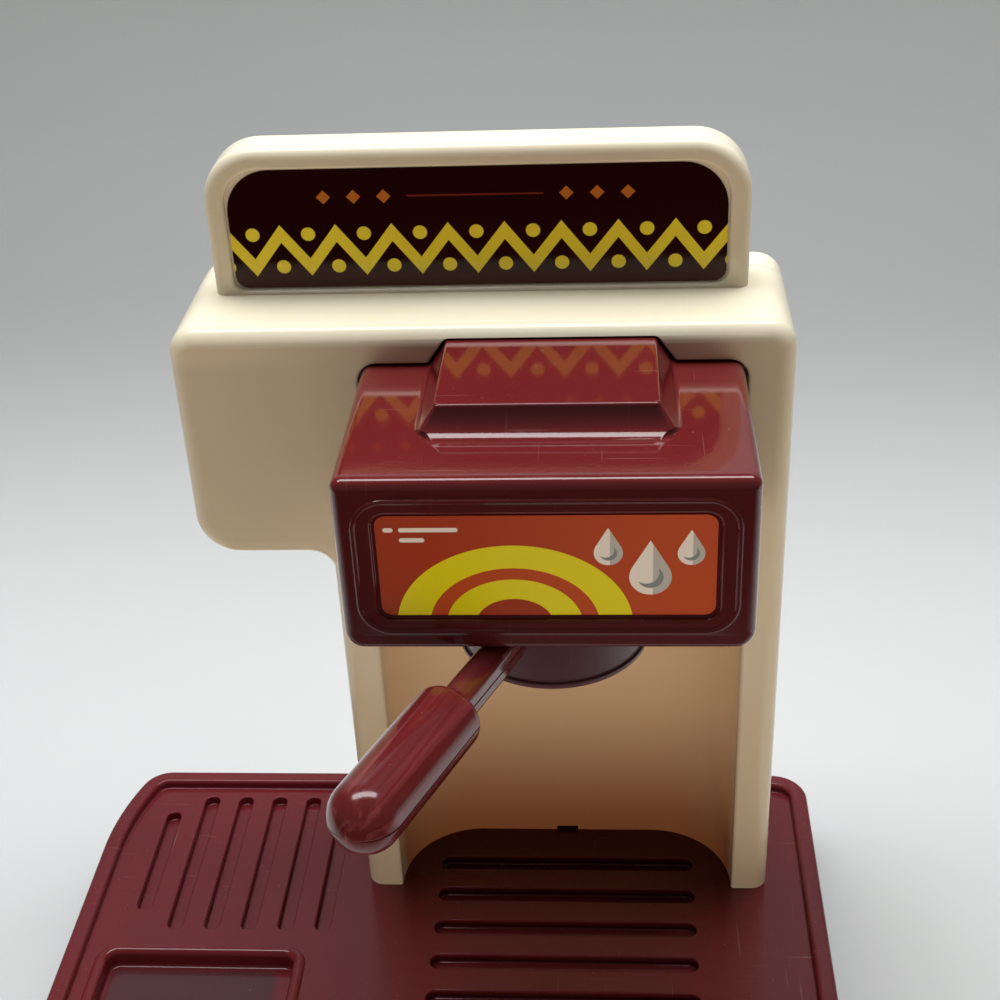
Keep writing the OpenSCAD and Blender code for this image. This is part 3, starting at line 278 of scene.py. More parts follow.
burgundy_base = plastic("burgundy_base_plastic", (0.12, 0.012, 0.017), (0.1, 0.01, 0.014), rough=0.18,
                        painted_light_tint=tray_shade)


def bend(x, y, r, start, end, steps=6):
    """Points on an arc round (x, y), in degrees."""
    turns = [radians(start + (end - start) * i / steps) for i in range(steps + 1)]
    return [(x + r * cos(a), y + r * sin(a)) for a in turns]


def nose(r, steps=6):
    """The (inset, depth) of a rounded front edge."""
    return bend(r, r, r, 270, 180, steps)


def rounded(corners, steps, closed=True):
    """An outline through corners (x, y, radius), as (point, outward normal), anticlockwise."""
    path, count = [], len(corners)
    for i, (x, y, r) in enumerate(corners):
        here = Vector((x, y))
        last = (here - Vector(corners[i - 1][:2])).normalized()
        next_ = (Vector(corners[(i + 1) % count][:2]) - here).normalized()
        if not closed and i == 0:
            last = next_
        if not closed and i == count - 1:
            next_ = last
        a, b = Vector((last.y, -last.x)), Vector((next_.y, -next_.x))
        half = acos(max(-1, min(1, last.dot(next_)))) / 2
        if r == 0 or half < 1e-4:
            path.append((here, (a + b) / (1 + a.dot(b))))
            continue
        side = 1 if last.x * next_.y > last.y * next_.x else -1
        middle = here - last * r * tan(half) - a * r * side
        start = atan2(a.y * side, a.x * side)
        for k in range(steps + 1):
            turn = start + side * 2 * half * k / steps
            spoke = Vector((cos(turn), sin(turn)))
            if not path or (path[-1][0] - middle - spoke * r).length > 1e-4:
                path.append((middle + spoke * r, spoke * side))
    if closed and (path[0][0] - path[-1][0]).length < 1e-4:
        path.pop()
    return path


def panel(x0, y0, x1, y1, r, steps=10):
    """The outline of a rectangle with round corners."""
    return rounded([(x1, y0, r), (x1, y1, r), (x0, y1, r), (x0, y0, r)], steps)


def around(rows):
    """The open ends of the rows, as one loop."""
    return [row[0] for row in rows] + [row[-1] for row in reversed(rows)]


class Skin:
    """Points in millimetres in the tower's frame, and the faces between them."""

    def __init__(self):
        self.points, self.faces, self.tags = [], [], []

    def row(self, points):
        start = len(self.points)
        self.points.extend(Vector(p) for p in points)
        return list(range(start, len(self.points)))

    def face(self, *corners, tag=0):
        self.faces.append(corners)
        self.tags.append(tag)

    def strip(self, a, b, closed=False, tag=0):
        for i in range(len(a) - (0 if closed else 1)):
            j = (i + 1) % len(a)
            self.face(a[i], a[j], b[j], b[i], tag=tag)

    def rows(self, rows, closed=True, tag=0):
        for a, b in zip(rows, rows[1:]):
            self.strip(a, b, closed, tag)
        return rows

    def fill(self, outer, *holes, tag=0):
        loops = []
        for loop in (outer, *holes):
            spots = [self.points[p] for p in loop]
            loops.append([p for k, p in enumerate(loop) if (spots[k] - spots[k - 1]).length > 1e-4])
        flat = [p for loop in loops for p in loop]
        for face in tessellate_polygon([[self.points[p] for p in loop] for loop in loops]):
            self.face(*[flat[k] for k in face], tag=tag)

    def caps(self, *loops):
        for loop in loops:
            self.fill(loop)

    def upright(self, path, sections):
        """Rows of points along a front view, one for each (inset, depth)."""
        return [self.row((p.x - q.x * inset, depth, p.y - q.y * inset) for p, q in path)
                for inset, depth in sections]

    def wall(self, path, sections, closed=True, tag=0):
        """The same rows, with faces between them."""
        return self.rows(self.upright(path, sections), closed, tag)

    def make(self, name, *stuff):
        mesh = bpy.data.meshes.new(name)
        mesh.from_pydata(self.points, [], self.faces)
        mesh.polygons.foreach_set("material_index", self.tags)
        return finished(name, mesh, stuff, TO_ROW)


TO_ROW = Matrix.Scale(0.001, 4) @ Matrix.Translation((TOWER_X, TOWER_Y, BASE_H))
SHARP = radians(32)


def settled(piece):
    """The mesh that a piece's modifiers make, as a plain mesh."""
    bpy.context.view_layer.update()
    return bpy.data.meshes.new_from_object(piece.evaluated_get(bpy.context.evaluated_depsgraph_get()))


def finished(name, mesh, stuff, move=None):
    """An object from a mesh: welded, smooth between sharp edges, with its materials."""
    form = bmesh.new()
    form.from_mesh(mesh)
    bmesh.ops.remove_doubles(form, verts=form.verts, dist=2e-4 if move else 2e-7)
    bmesh.ops.dissolve_degenerate(form, edges=form.edges, dist=1e-4 if move else 1e-7)
    bmesh.ops.delete(form, geom=[v for v in form.verts if not v.link_faces])
    bmesh.ops.recalc_face_normals(form, faces=form.faces)
    if move:
        form.transform(move)
    for face in form.faces:
        face.smooth = True
    for edge in form.edges:
        edge.smooth = len(edge.link_faces) == 2 and edge.calc_face_angle(0) < SHARP
    form.to_mesh(mesh)
    form.free()
    mesh.materials.clear()
    for one in stuff:
        mesh.materials.append(one)
    piece = added(name, mesh)
    piece.modifiers.new("even_shading", "WEIGHTED_NORMAL").keep_sharp = True
    piece.data = settled(piece)
    piece.modifiers.clear()
    return piece


def wears(piece, body, node):
    """The piece rides on a body and stands for its CAD node, which is hidden."""
    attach(piece, body)
    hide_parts(node)


LEFT, RIGHT, HALF_DEPTH, RIGHT_R = -117, 117, 75, 11
RIM_W, RIM_H, RIM_EDGE, RIM_FOOT = 5.5, 3, 1.4, 0.6
TRAY_WALL, TRAY_OPEN, FOOT_EDGE = 2.4, 13, 0.35
LEFT_R, LEFT_BIG_R, LEFT_COS, LEFT_SIN = 10, 90, 0.936, 0.352
LEFT_DRAW_W = LEFT_BIG_R - (LEFT_BIG_R - LEFT_R) * LEFT_COS
LEFT_DRAW_D = LEFT_R + (LEFT_BIG_R - LEFT_R) * LEFT_SIN
TOWER_HALF, TOWER_D = 63.5, 50
GAP_LEFT, GAP_RIGHT = TOWER_X - TOWER_HALF - 0.3, TOWER_X + TOWER_HALF + 0.3

turn = degrees(asin(LEFT_SIN))
corner = []  # (point, outward normal, rim or not)
for x, y, r, start, end in (
    (RIGHT - RIGHT_R, HALF_DEPTH - RIGHT_R, RIGHT_R, 0, 90),
    (LEFT + LEFT_DRAW_W, HALF_DEPTH - LEFT_R, LEFT_R, 90, 180 - turn),
    (LEFT + LEFT_BIG_R, HALF_DEPTH - LEFT_DRAW_D, LEFT_BIG_R, 180 - turn, 180),
):
    corner += [(Vector(p), (Vector(p) - Vector((x, y))) / r, 1) for p in bend(x, y, r, start, end, 10)]
    if start == 0:
        corner += [(Vector((stop, HALF_DEPTH)), Vector((0, 1)), rim) for stop, rim in
                   ((GAP_RIGHT, 1), (GAP_RIGHT, 0), (GAP_LEFT, 0), (GAP_LEFT, 1))]
flipped = [(Vector((p.x, -p.y)), Vector((q.x, -q.y)), 1) for p, q, rim in reversed(corner)
           if not (p.y == HALF_DEPTH and GAP_LEFT - 1 < p.x < GAP_RIGHT + 1)]
tray_outline = corner + flipped
tray_section = ([(TRAY_WALL, TRAY_OPEN), (TRAY_WALL, 0), (FOOT_EDGE, 0), (0, FOOT_EDGE)]
                + bend(RIM_EDGE, BASE_H + RIM_H - RIM_EDGE, RIM_EDGE, 180, 90)
                + bend(RIM_W - RIM_EDGE, BASE_H + RIM_H - RIM_EDGE, RIM_EDGE, 90, 0)
                + bend(RIM_W + RIM_FOOT, BASE_H + RIM_FOOT, RIM_FOOT, 180, 270, 4))
tray = Skin()


def tray_row(inset, height):
    """A row round the tray; where the rim stops it stays at the top's level."""
    over = height - BASE_H
    return tray.row((p.x - q.x * inset - TOWER_X, p.y - q.y * inset - TOWER_Y, over if rim else min(over, 0))
                    for p, q, rim in tray_outline)


rows = tray.rows([tray_row(inset, height) for inset, height in tray_section])
tray.fill(rows[0])


def sunk(box, section, steps):
    """The top edge of a hollow in the tray, which follows a section of (outset, height)."""
    outline = panel(*box, steps)
    rows = tray.rows([tray.row((p.x + q.x * grow, p.y + q.y * grow, height) for p, q in outline)
                      for grow, height in section])
    tray.fill(rows[-1])
    return rows[0]


GROOVES, GROOVE_X, GROOVE_PITCH, GROOVE_HALF, GROOVE_R = 6, -75.8, 11.75, 2.4, 2.39
GROOVE_BACK, GROOVE_LONG, LAST_BACK, LAST_LONG = 41, 61, 33, 45
SLOTS, SLOT_Y, SLOT_PITCH, SLOT_HALF, SLOT_HALF_LONG, SLOT_R = 6, 10.3, 14.1, 2.8, 40.5, 2.79
DEEP, EDGE, FLOOR_R = 3, 0.55, 0.7
hollows = []
for i in range(GROOVES):
    x = GROOVE_X - GROOVE_PITCH * i
    back, long = (LAST_BACK, LAST_LONG) if i == GROOVES - 1 else (GROOVE_BACK, GROOVE_LONG)
    hollows.append((x - GROOVE_HALF, back - long, x + GROOVE_HALF, back, GROOVE_R))
for i in range(SLOTS):
    y = SLOT_Y - SLOT_PITCH * i
    hollows.append((-SLOT_HALF_LONG, y - SLOT_HALF, SLOT_HALF_LONG, y + SLOT_HALF, SLOT_R))
groove_section = [(-x, y) for x, y in bend(-EDGE, -EDGE, EDGE, 90, 0, 4)
                  + bend(FLOOR_R, FLOOR_R - DEEP, FLOOR_R, 180, 270, 4)]
holes = [sunk(box, groove_section, 9) for box in hollows]

POCKET = (-140.5, -86, -82.5, -31, 3.5)
BEAD_R, BEAD_H, POCKET_DEEP, POCKET_R = 2, 1.3, 4.6, 1.1
bead_foot = degrees(asin((BEAD_R - BEAD_H) / BEAD_R))
pocket_section = ([(BEAD_R * (1 + cos(radians(bead_foot))) + 0.35, 0)]
                  + bend(BEAD_R, BEAD_H - BEAD_R, BEAD_R, bead_foot, 180, 12)
                  + [(-x, y) for x, y in bend(POCKET_R, POCKET_R - POCKET_DEEP, POCKET_R, 180, 270, 5)])
holes.append(sunk(POCKET, pocket_section, 8))
tray.fill(tray_row(RIM_W + RIM_FOOT, BASE_H), *holes)
wears(tray.make("base_tray_shell", burgundy_base), "stand", "base_tray")

# ---------------- base plate
# The dark plate that closes the tray from below. It is a flat moulding with
# feet and screw holes, and it keeps the CAD's own shape with finer shading.
dark = plastic("dark_burgundy_plastic", (0.055, 0.012, 0.016), (0.045, 0.01, 0.013), rough=0.28)


def polished(name, node, body, stuff):
    """A smooth copy of a CAD piece that stands for it."""
    wears(finished(name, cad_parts[node].data.copy(), [stuff]), body, node)


polished("base_plate", "base_bottom_plate", "stand", dark)


# ---------------- tower
# The cream tower: a front shell with a block at its left and a round niche, and
# a flat rear shell screwed on from behind. A fine line shows where they meet.
# The niche wall has painted warm bounce light that deepens to painted shade at its foot.
def cream_painted_light(n, place, tone):
    """The tone of the cream plastic, with painted warm bounce light and shade in the niche and painted shade
    at the block's far left.
    """
    spot = n.split(place)
    inside = n.product(n.ramp(n.apart(spot["X"], TOWER_X / 1000), 0.0532, 0.0515),
                       n.ramp(spot["Y"], 0.0245, 0.034), n.ramp(spot["Z"], 0.17, 0.15),
                       n.ramp(spot["Y"], 0.058, 0.054))
    # painted warm bounce light from the tray, turning to painted shade towards the niche's foot
    warm = n.mix(n.ramp(spot["Z"], 0.012, 0.09), (0.47, 0.18, 0.07, 1), (0.9, 0.68, 0.46, 1))
    # painted shade on the block's far left front
    block = n.product(n.ramp(spot["X"], -0.012, -0.05), n.ramp(spot["Y"], 0.03, 0.026),
                      n.ramp(spot["Z"], 0.209, 0.204, 0, 0.7))
    return n.mix(inside, n.mix(block, tone, (0.62, 0.56, 0.44, 1)), warm)


cream = plastic("cream_plastic", (0.77, 0.7, 0.55), (0.74, 0.665, 0.51), rough=0.13, painted_light_tint=cream_painted_light)
TOWER_H, TOWER_R, BLOCK_X, BLOCK_Z, BLOCK_R, ARMPIT_R = 196, 8, -101.3, 126, 12, 6.5
PARTING, FRONT_EDGE, BACK_EDGE, LINE = 38, 5, 3, 0.3
tower_view = rounded([
    (TOWER_HALF, 0, 0), (TOWER_HALF, TOWER_H, TOWER_R), (BLOCK_X, TOWER_H, TOWER_R),
    (BLOCK_X, BLOCK_Z, BLOCK_R), (-TOWER_HALF, BLOCK_Z, ARMPIT_R), (-TOWER_HALF, 0, 0),
], 10, closed=False)
front = Skin()
rows = front.wall(tower_view, nose(FRONT_EDGE, 8) + [(0, PARTING - LINE), (LINE, PARTING)], closed=False)
front.caps(rows[0], rows[-1], around(rows))
tower_blank = front.make("tower_front_blank", cream)

# the hollow: an opening for the head over the niche, with a drain notch at the niche's foot
NICHE_X, NICHE_Z, NICHE_D, NICHE_R, NICHE_EDGE = 52.3, 138, 26.3, 24.5, 0.9
OPEN_X, OPEN_Z, OPEN_R, SLAB_Z, SLAB_Y, OPEN_DEEP = 51, 185.9, 5, 140.5, 3.5, 10.6
HUMP_FOOT, HUMP_FOOT_R, HUMP_TOP, HUMP_TOP_R, HUMP_TOP_Z = 32.2, 1.2, 27.3, 1.6, 192.9
OVER, NOTCH_HALF, NOTCH_H, NOTCH_DEEP, DRAFT = 2, 3.5, 1.5, 4, 0.05
hollow = Skin()
left = [(-NICHE_X, -OVER, 0), (-NICHE_X, NICHE_Z, 0), (-OPEN_X, NICHE_Z, 0), (-OPEN_X, SLAB_Z, 0),
        (-OPEN_X, OPEN_Z, OPEN_R), (-HUMP_FOOT, OPEN_Z + DRAFT, HUMP_FOOT_R),
        (-HUMP_TOP, HUMP_TOP_Z, HUMP_TOP_R)]
opening = rounded(left + [(-x, z, r) for x, z, r in reversed(left)], 6, closed=False)
lip = hollow.wall(opening, [(NICHE_EDGE, -OVER)] + nose(NICHE_EDGE, 5), closed=False)
hollow.fill(lip[0])
over, above = slice(2, len(opening) - 2), slice(3, len(opening) - 3)
mouth = hollow.upright(opening[over], [(0, SLAB_Y)])[0]
hollow.strip(lip[-1][over], mouth)
deep = hollow.upright(opening[above], [(0, OPEN_DEEP)])[0]
hollow.strip(mouth[1:-1], deep)
hollow.fill(deep)
hollow.face(mouth[0], mouth[1], mouth[-2], mouth[-1])
hollow.face(mouth[1], deep[0], deep[-1], mouth[-2])
arc = bend(NICHE_R - NICHE_X, NICHE_D - NICHE_R, NICHE_R, 180, 90, 16)
plan = [(-NICHE_X, NICHE_EDGE)] + arc + [(-NOTCH_HALF, NICHE_D)]
plan += [(-x, y) for x, y in reversed(plan)]
foot = hollow.row((x, y, -OVER) for x, y in plan)
ceiling = hollow.row((x, y, NICHE_Z) for x, y in plan)
cut = len(arc) + 1
hollow.strip(foot[:cut], ceiling[:cut])
hollow.strip(foot[cut + 2:], ceiling[cut + 2:])
notch = hollow.row([(-NOTCH_HALF, NICHE_D, NOTCH_H), (NOTCH_HALF, NICHE_D, NOTCH_H)])
hollow.fill([foot[cut - 1], foot[cut], notch[0], ceiling[cut], ceiling[cut - 1]])
hollow.fill([foot[cut + 2], foot[cut + 1], notch[1], ceiling[cut + 1], ceiling[cut + 2]])
inner = hollow.row((x, NICHE_D + NOTCH_DEEP, z) for z in (-OVER, NOTCH_H) for x in (-NOTCH_HALF, NOTCH_HALF))
hollow.face(notch[0], notch[1], ceiling[cut + 1], ceiling[cut])
hollow.face(foot[cut], notch[0], inner[2], inner[0])
hollow.face(foot[cut + 1], inner[1], inner[3], notch[1])
hollow.face(notch[0], notch[1], inner[3], inner[2])
hollow.face(inner[0], inner[1], inner[3], inner[2])
hollow.fill(ceiling + hollow.row([(OPEN_X, NICHE_EDGE, NICHE_Z), (OPEN_X, SLAB_Y, NICHE_Z),
                                  (-OPEN_X, SLAB_Y, NICHE_Z), (-OPEN_X, NICHE_EDGE, NICHE_Z)]))
hollow.fill([row[0] for row in lip] + foot[1:cut + 1] + inner[:2] + foot[cut + 1:-1]
            + [row[-1] for row in reversed(lip)])


def cut_from(name, piece, tool, stuff):
    """The piece, under a new name, without the space that the tool fills."""
    hole = piece.modifiers.new("cut", "BOOLEAN")
    hole.operation, hole.solver, hole.object = "DIFFERENCE", "EXACT", tool
    mesh = settled(piece)
    for spent in (piece, tool):
        bpy.data.objects.remove(spent)
    return finished(name, mesh, [stuff])


wears(cut_from("tower_front", tower_blank, hollow.make("tower_hollow"), cream),
      "stand", "tower_front_shell")

DRILL_R, DRILL_SIDES = 3, 40


def holed(name, piece, stuff, *holes):
    """The piece with screw holes, each drilled from one point to another in the tower's frame."""
    drills = bpy.data.meshes.new("drills")
    form = bmesh.new()
    for start, end in holes:
        way = Vector(end) - Vector(start)
        place = Matrix.Translation((Vector(start) + Vector(end)) / 2)
        turned = TO_ROW @ place @ way.to_track_quat("Z", "Y").to_matrix().to_4x4()
        bmesh.ops.create_cone(form, cap_ends=True, segments=DRILL_SIDES, radius1=DRILL_R, radius2=DRILL_R,
                              depth=way.length, matrix=turned)
    form.to_mesh(drills)
    form.free()
    return cut_from(name, piece, added("drills", drills), stuff)


def solids(node):
    """Lowest and highest corner of each solid of a CAD piece, in the tower's frame and millimetres."""
    form = bmesh.new()
    form.from_mesh(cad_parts[node].data)
    bmesh.ops.remove_doubles(form, verts=form.verts, dist=1e-6)
    unseen, found = set(form.verts), []
    while unseen:
        island, near = set(), {unseen.pop()}
        while near:
            vert = near.pop()
            island.add(vert)
            near |= {e.other_vert(vert) for e in vert.link_edges} - island
        unseen -= island
        spots = [TO_ROW.inverted() @ vert.co for vert in island]
        found.append([Vector(pick(s[k] for s in spots) for k in range(3)) for pick in (min, max)])
    form.free()
    return sorted(found, key=lambda box: tuple(round(c, 1) for c in box[0]))


SHAFT_MOUTH, SHAFT_END = TOWER_D + 2, PARTING + 3
rear = Skin()
rows = rear.wall(tower_view, [(LINE, PARTING), (0, PARTING + LINE)]
                 + bend(BACK_EDGE, TOWER_D - BACK_EDGE, BACK_EDGE, 180, 90), closed=False)
rear.caps(rows[0], around(rows), rows[-1])
shafts = []
for low, high in solids("tower_shell_screws"):
    x, z = (low.x + high.x) / 2, (low.z + high.z) / 2
    shafts.append(((x, SHAFT_MOUTH, z), (x, SHAFT_END, z)))
wears(holed("tower_rear", rear.make("tower_rear_blank", cream), cream, *shafts),
      "stand", "tower_rear_shell")

# ---------------- sign
# The cream board on top of the tower, with round upper corners and a raised
# frame round a shallow recess for its label.
SIGN_HALF, SIGN_H, SIGN_T, SIGN_R, SIGN_EDGE = 72.1, 40.7, 14, 15, 3
SIGN_X, SIGN_FRONT = -19.8, 23.1
FRAME_W, FRAME_LOW, FRAME_R, RECESS, RECESS_EDGE, LIP_R = 5.6, 1.1, 3.5, 1.6, 0.3, 0.9


def at_sign(corners, steps, closed=True):
    """An outline through corners that are given from the middle of the sign's foot."""
    return [(p + Vector((SIGN_X, TOWER_H)), q) for p, q in rounded(corners, steps, closed)]


def sign_window(inset, top_r):
    """The view of the sign's recess, drawn in by an inset."""
    w, low, high = SIGN_HALF - FRAME_W - inset, FRAME_LOW + inset, SIGN_H - FRAME_W - inset
    return at_sign([(w, low, FRAME_R), (w, high, top_r), (-w, high, top_r), (-w, low, FRAME_R)], 10)


board = Skin()
view = at_sign([(SIGN_HALF, 0, 0), (SIGN_HALF, SIGN_H, SIGN_R), (-SIGN_HALF, SIGN_H, SIGN_R),
                (-SIGN_HALF, 0, 0)], 12, closed=False)
rows = board.wall(view, [(x, SIGN_FRONT + y) for x, y in nose(SIGN_EDGE)
                         + bend(SIGN_EDGE, SIGN_T - SIGN_EDGE, SIGN_EDGE, 180, 90)], closed=False)
board.caps(rows[-1], around(rows))
lip = board.wall(sign_window(0, SIGN_R - FRAME_W),
                 [(-x, SIGN_FRONT + y) for x, y in nose(LIP_R, 5)]
                 + [(0, SIGN_FRONT + RECESS - RECESS_EDGE), (RECESS_EDGE, SIGN_FRONT + RECESS)])
board.fill(lip[-1])
board.fill(rows[0], lip[0])
wears(board.make("sign_panel", cream), "stand", "sign_board")


# ---------------- sign label
# A thin glossy film, printed in a plain generic pattern and stuck into the
# sign's recess. The pattern is drawn in millimetres from the print's middle.
class Print(Nodes):
    """Masks of simple printed shapes, with edges as soft as a printed dot."""

    SOFT = 0.09

    def start(self, middle_x, middle_z):
        """Count x and z from a point that is given in the toy's frame."""
        spot = self.split(self.place())
        self.x = self.product(self.less(spot["X"], middle_x / 1000), 1000)
        self.z = self.product(self.less(spot["Z"], middle_z / 1000), 1000)

    def within(self, distance, limit):
        return self.ramp(self.less(distance, limit), self.SOFT, -self.SOFT)

    def length(self, dx, dz):
        return self.math("SQRT", self.math("ADD", self.product(dx, dx), self.product(dz, dz)))

    def disc(self, middle_x, middle_z, radius, squeeze=1, x=None):
        """A disc, or an oval whose heights count squeeze times."""
        dx = self.less(self.x if x is None else x, middle_x)
        dz = self.product(self.less(self.z, middle_z), squeeze)
        return self.within(self.length(dx, dz), radius)

    def bar(self, middle_x, middle_z, half_w, half_h, round_r):
        """A bar with round corners."""
        dx = self.either(self.less(self.apart(self.x, middle_x), half_w - round_r), 0)
        dz = self.either(self.less(self.apart(self.z, middle_z), half_h - round_r), 0)
        return self.within(self.length(dx, dz), round_r)

    def lozenge(self, middle_x, middle_z, half, x):
        return self.within(self.math("ADD", self.apart(x, middle_x), self.apart(self.z, middle_z)), half)

    def either(self, first, *others):
        for other in others:
            first = self.math("MAXIMUM", first, other)
        return first


def film(name, rough, middle_x, middle_z):
    """A glossy printed film, as (material, Print, BSDF)."""
    made, n, bsdf = material(name, Print)
    waves = {"Wave Height": 0.00003, "Scratches": 0.25}
    skin = n.add("ShaderNodeGroup", waves, node_tree=mould_skin).outputs
    rough_at = n.ramp(skin["Patches"], 0.3, 0.7, rough * 0.9, rough * 1.2)
    n.give(bsdf, {"Normal": skin["Normal"], "Roughness": rough_at, "IOR": 1.46})
    n.start(middle_x, middle_z)
    return made, n, bsdf


DARK_BROWN, BROWN, BRICK = (0.018, 0.0019, 0.001, 1), (0.072, 0.0095, 0.0042, 1), (0.2, 0.022, 0.01, 1)
AMBER, LEMON = (0.55, 0.16, 0.02, 1), (0.9, 0.73, 0.05, 1)
PITCH, RISE, BAND_Z, BAND_HALF, DOT_OFF, DOT_R = 15, 9.6, -5.2, 2.5, 4.6, 1.9
LINE_Z, LINE_LONG, LINE_HALF, LINE_R, LOZENGES, LOZENGE_HALF = 9.6, 18, 0.22, 0.2, (24, 32, 40), 1.9
sign_film, n, bsdf = film("brown_printed_film", 0.13, TOWER_X + SIGN_X, BASE_H + TOWER_H + 17.4)
# a broad yellow zigzag with dots in its bays, and over it a thin line between lozenges
step = n.product(n.less(n.math("PINGPONG", n.x, PITCH / 2), PITCH / 4), 2 * RISE / PITCH)
zigzag = n.within(n.apart(n.z, n.math("ADD", step, BAND_Z)), BAND_HALF)
cell = n.math("WRAP", n.x, -PITCH / 2, PITCH / 2)
next_cell = n.math("WRAP", n.math("ADD", n.x, PITCH / 2), -PITCH / 2, PITCH / 2)
dots = n.either(n.disc(0, BAND_Z + DOT_OFF, DOT_R, x=cell),
                n.disc(0, BAND_Z - DOT_OFF, DOT_R, x=next_cell))
# the ground lightens towards the foot as a painted reflection of the tower top
ground_painted_reflection = n.mix(n.ramp(n.z, -9, -17), DARK_BROWN, BROWN)
tone = n.mix(n.either(zigzag, dots), ground_painted_reflection, LEMON)
tone = n.mix(n.bar(0, LINE_Z, LINE_LONG, LINE_HALF, LINE_R), tone, BRICK)
wide = n.math("ABSOLUTE", n.x)
tone = n.mix(n.either(*[n.lozenge(x, LINE_Z, LOZENGE_HALF, wide) for x in LOZENGES]), tone, AMBER)
n.give(bsdf, {"Base Color": tone, "Specular IOR Level": 0.24})

LABEL_T, LABEL_GAP, LABEL_R, LABEL_EDGE = 0.3, 0.45, 12, 0.06


def sheet(name, view, back, stuff):
    """A label's film, which fills a view and ends at some depth."""
    skin = Skin()
    rows = skin.wall(view, [(LABEL_EDGE, back - LABEL_T), (0, back - LABEL_T + LABEL_EDGE), (0, back)])
    skin.caps(rows[0], rows[-1])
    return skin.make(name, stuff)


wears(sheet("sign_film", sign_window(LABEL_GAP, LABEL_R), SIGN_FRONT + RECESS, sign_film),
      "stand", "sign_label")


# ---------------- head
# The burgundy box that juts out of the tower: one polished moulding with a
# hump on its top whose front is a hollow curve, a bead line round the front
# panel and a shallow recess for the label.
def head_front_painted_shade(n, place, tone):
    """The tone of the head, with painted shade on its front faces."""
    return n.mix(n.ramp(n.facing()["Y"], -0.4, -0.95), tone, (0.07, 0.0088, 0.011, 1))


# the head's front faces are darkened as painted shade
burgundy_head = plastic("burgundy_head_plastic", (0.13, 0.013, 0.0135), (0.108, 0.01, 0.011), rough=0.08,
                        coat=0.6, painted_light_tint=head_front_painted_shade)
# a darker copy of the head plastic, which paints shade on the recess round the label
burgundy_panel_painted_shade = plastic("burgundy_panel_plastic", (0.05, 0.007, 0.009), (0.042, 0.006, 0.008), rough=0.1,
                         coat=0.4)
HEAD_HALF, HEAD_Z, HEAD_TOP, HEAD_OUT, HEAD_BACK = 50, 138, 185.4, 59.5, 8
HEAD_EDGE, HEAD_LOW_R, WALL = 3, 5, 2.5
INNER_X, INNER_Y, INNER_Z, STEP_Y = HEAD_HALF - WALL, HEAD_OUT - WALL - 1.5, 140.8, -0.3
LOW_X, LOW_Z = HEAD_LOW_R - HEAD_HALF, HEAD_Z + HEAD_LOW_R


def spokes(x, z, r, turns):
    """Points on an arc at some angles in degrees, with their outward normals."""
    ways = [Vector((cos(radians(turn)), sin(radians(turn)))) for turn in turns]
    return [(Vector((x, z)) + way * r, way) for way in ways]


# the front view from the top left edge, round the foot, to the top right edge
stops = [180 + degrees(asin((LOW_Z - INNER_Z) / HEAD_LOW_R)),
         180 + degrees(acos((LOW_X + INNER_X) / HEAD_LOW_R))]
top_turns = [90 + 15 * i for i in range(7)]
low_turns = sorted([180 + 11.25 * i for i in range(9)] + stops)
step_at, wall_at = (len(top_turns) + low_turns.index(stop) for stop in stops)
left = (spokes(HEAD_EDGE - HEAD_HALF, HEAD_TOP - HEAD_EDGE, HEAD_EDGE, top_turns)
        + spokes(LOW_X, LOW_Z, HEAD_LOW_R, low_turns))
skirt = left + [(Vector((-p.x, p.y)), Vector((-q.x, q.y))) for p, q in reversed(left)]

# the walls: a round front edge that is finer at the foot, and a floor that is open for the head floor
head = Skin()
edged = [(p, q, 1 - 0.5 * max(0, -q.y)) for p, q in skirt]
rows = head.rows([
    head.row((p.x - q.x * inset * k, depth * k - HEAD_OUT, p.y - q.y * inset * k) for p, q, k in edged)
    for inset, depth in nose(HEAD_EDGE)])
ring = rows[-1]
at_front, at_step, at_back = head.upright(skirt, [(0, -INNER_Y), (0, STEP_Y), (0, HEAD_BACK)])
head.strip(ring, at_front)
for a, b, reach in ((at_front, at_step, wall_at), (at_step, at_back, step_at)):
    head.strip(a[:reach + 1], b[:reach + 1])
    head.strip(a[-reach - 1:], b[-reach - 1:])
left, right = [head.row([(side * INNER_X, y, INNER_Z) for y in (-INNER_Y, STEP_Y)]) for side in (-1, 1)]
for at, inner in ((wall_at, left), (-wall_at - 1, right)):
    head.face(at_front[at], at_step[at], inner[1], inner[0])
head.fill(at_step[step_at:wall_at + 1] + [left[1]])
head.fill(at_step[-wall_at - 1:-step_at] + [right[1]])
head.fill(at_front[wall_at:-wall_at] + [right[0], left[0]])
head.fill([*left, at_step[step_at], at_back[step_at], at_back[-step_at - 1], at_step[-step_at - 1],
           right[1], right[0]])

# the hump, in levels from its foot on the box up to its flat top
HUMP_X, HUMP_Y, HUMP_R, HUMP_LEAN, HUMP_TURN, HUMP_EDGE = 31.7, -43, 8, 0.7, 6.1, 0.9
CUT_X, CUT_SLOPE, CUT_LEAST, CUT_SMALL, SIDE_START = 25, 0.848, 1.3, 2, 9.5


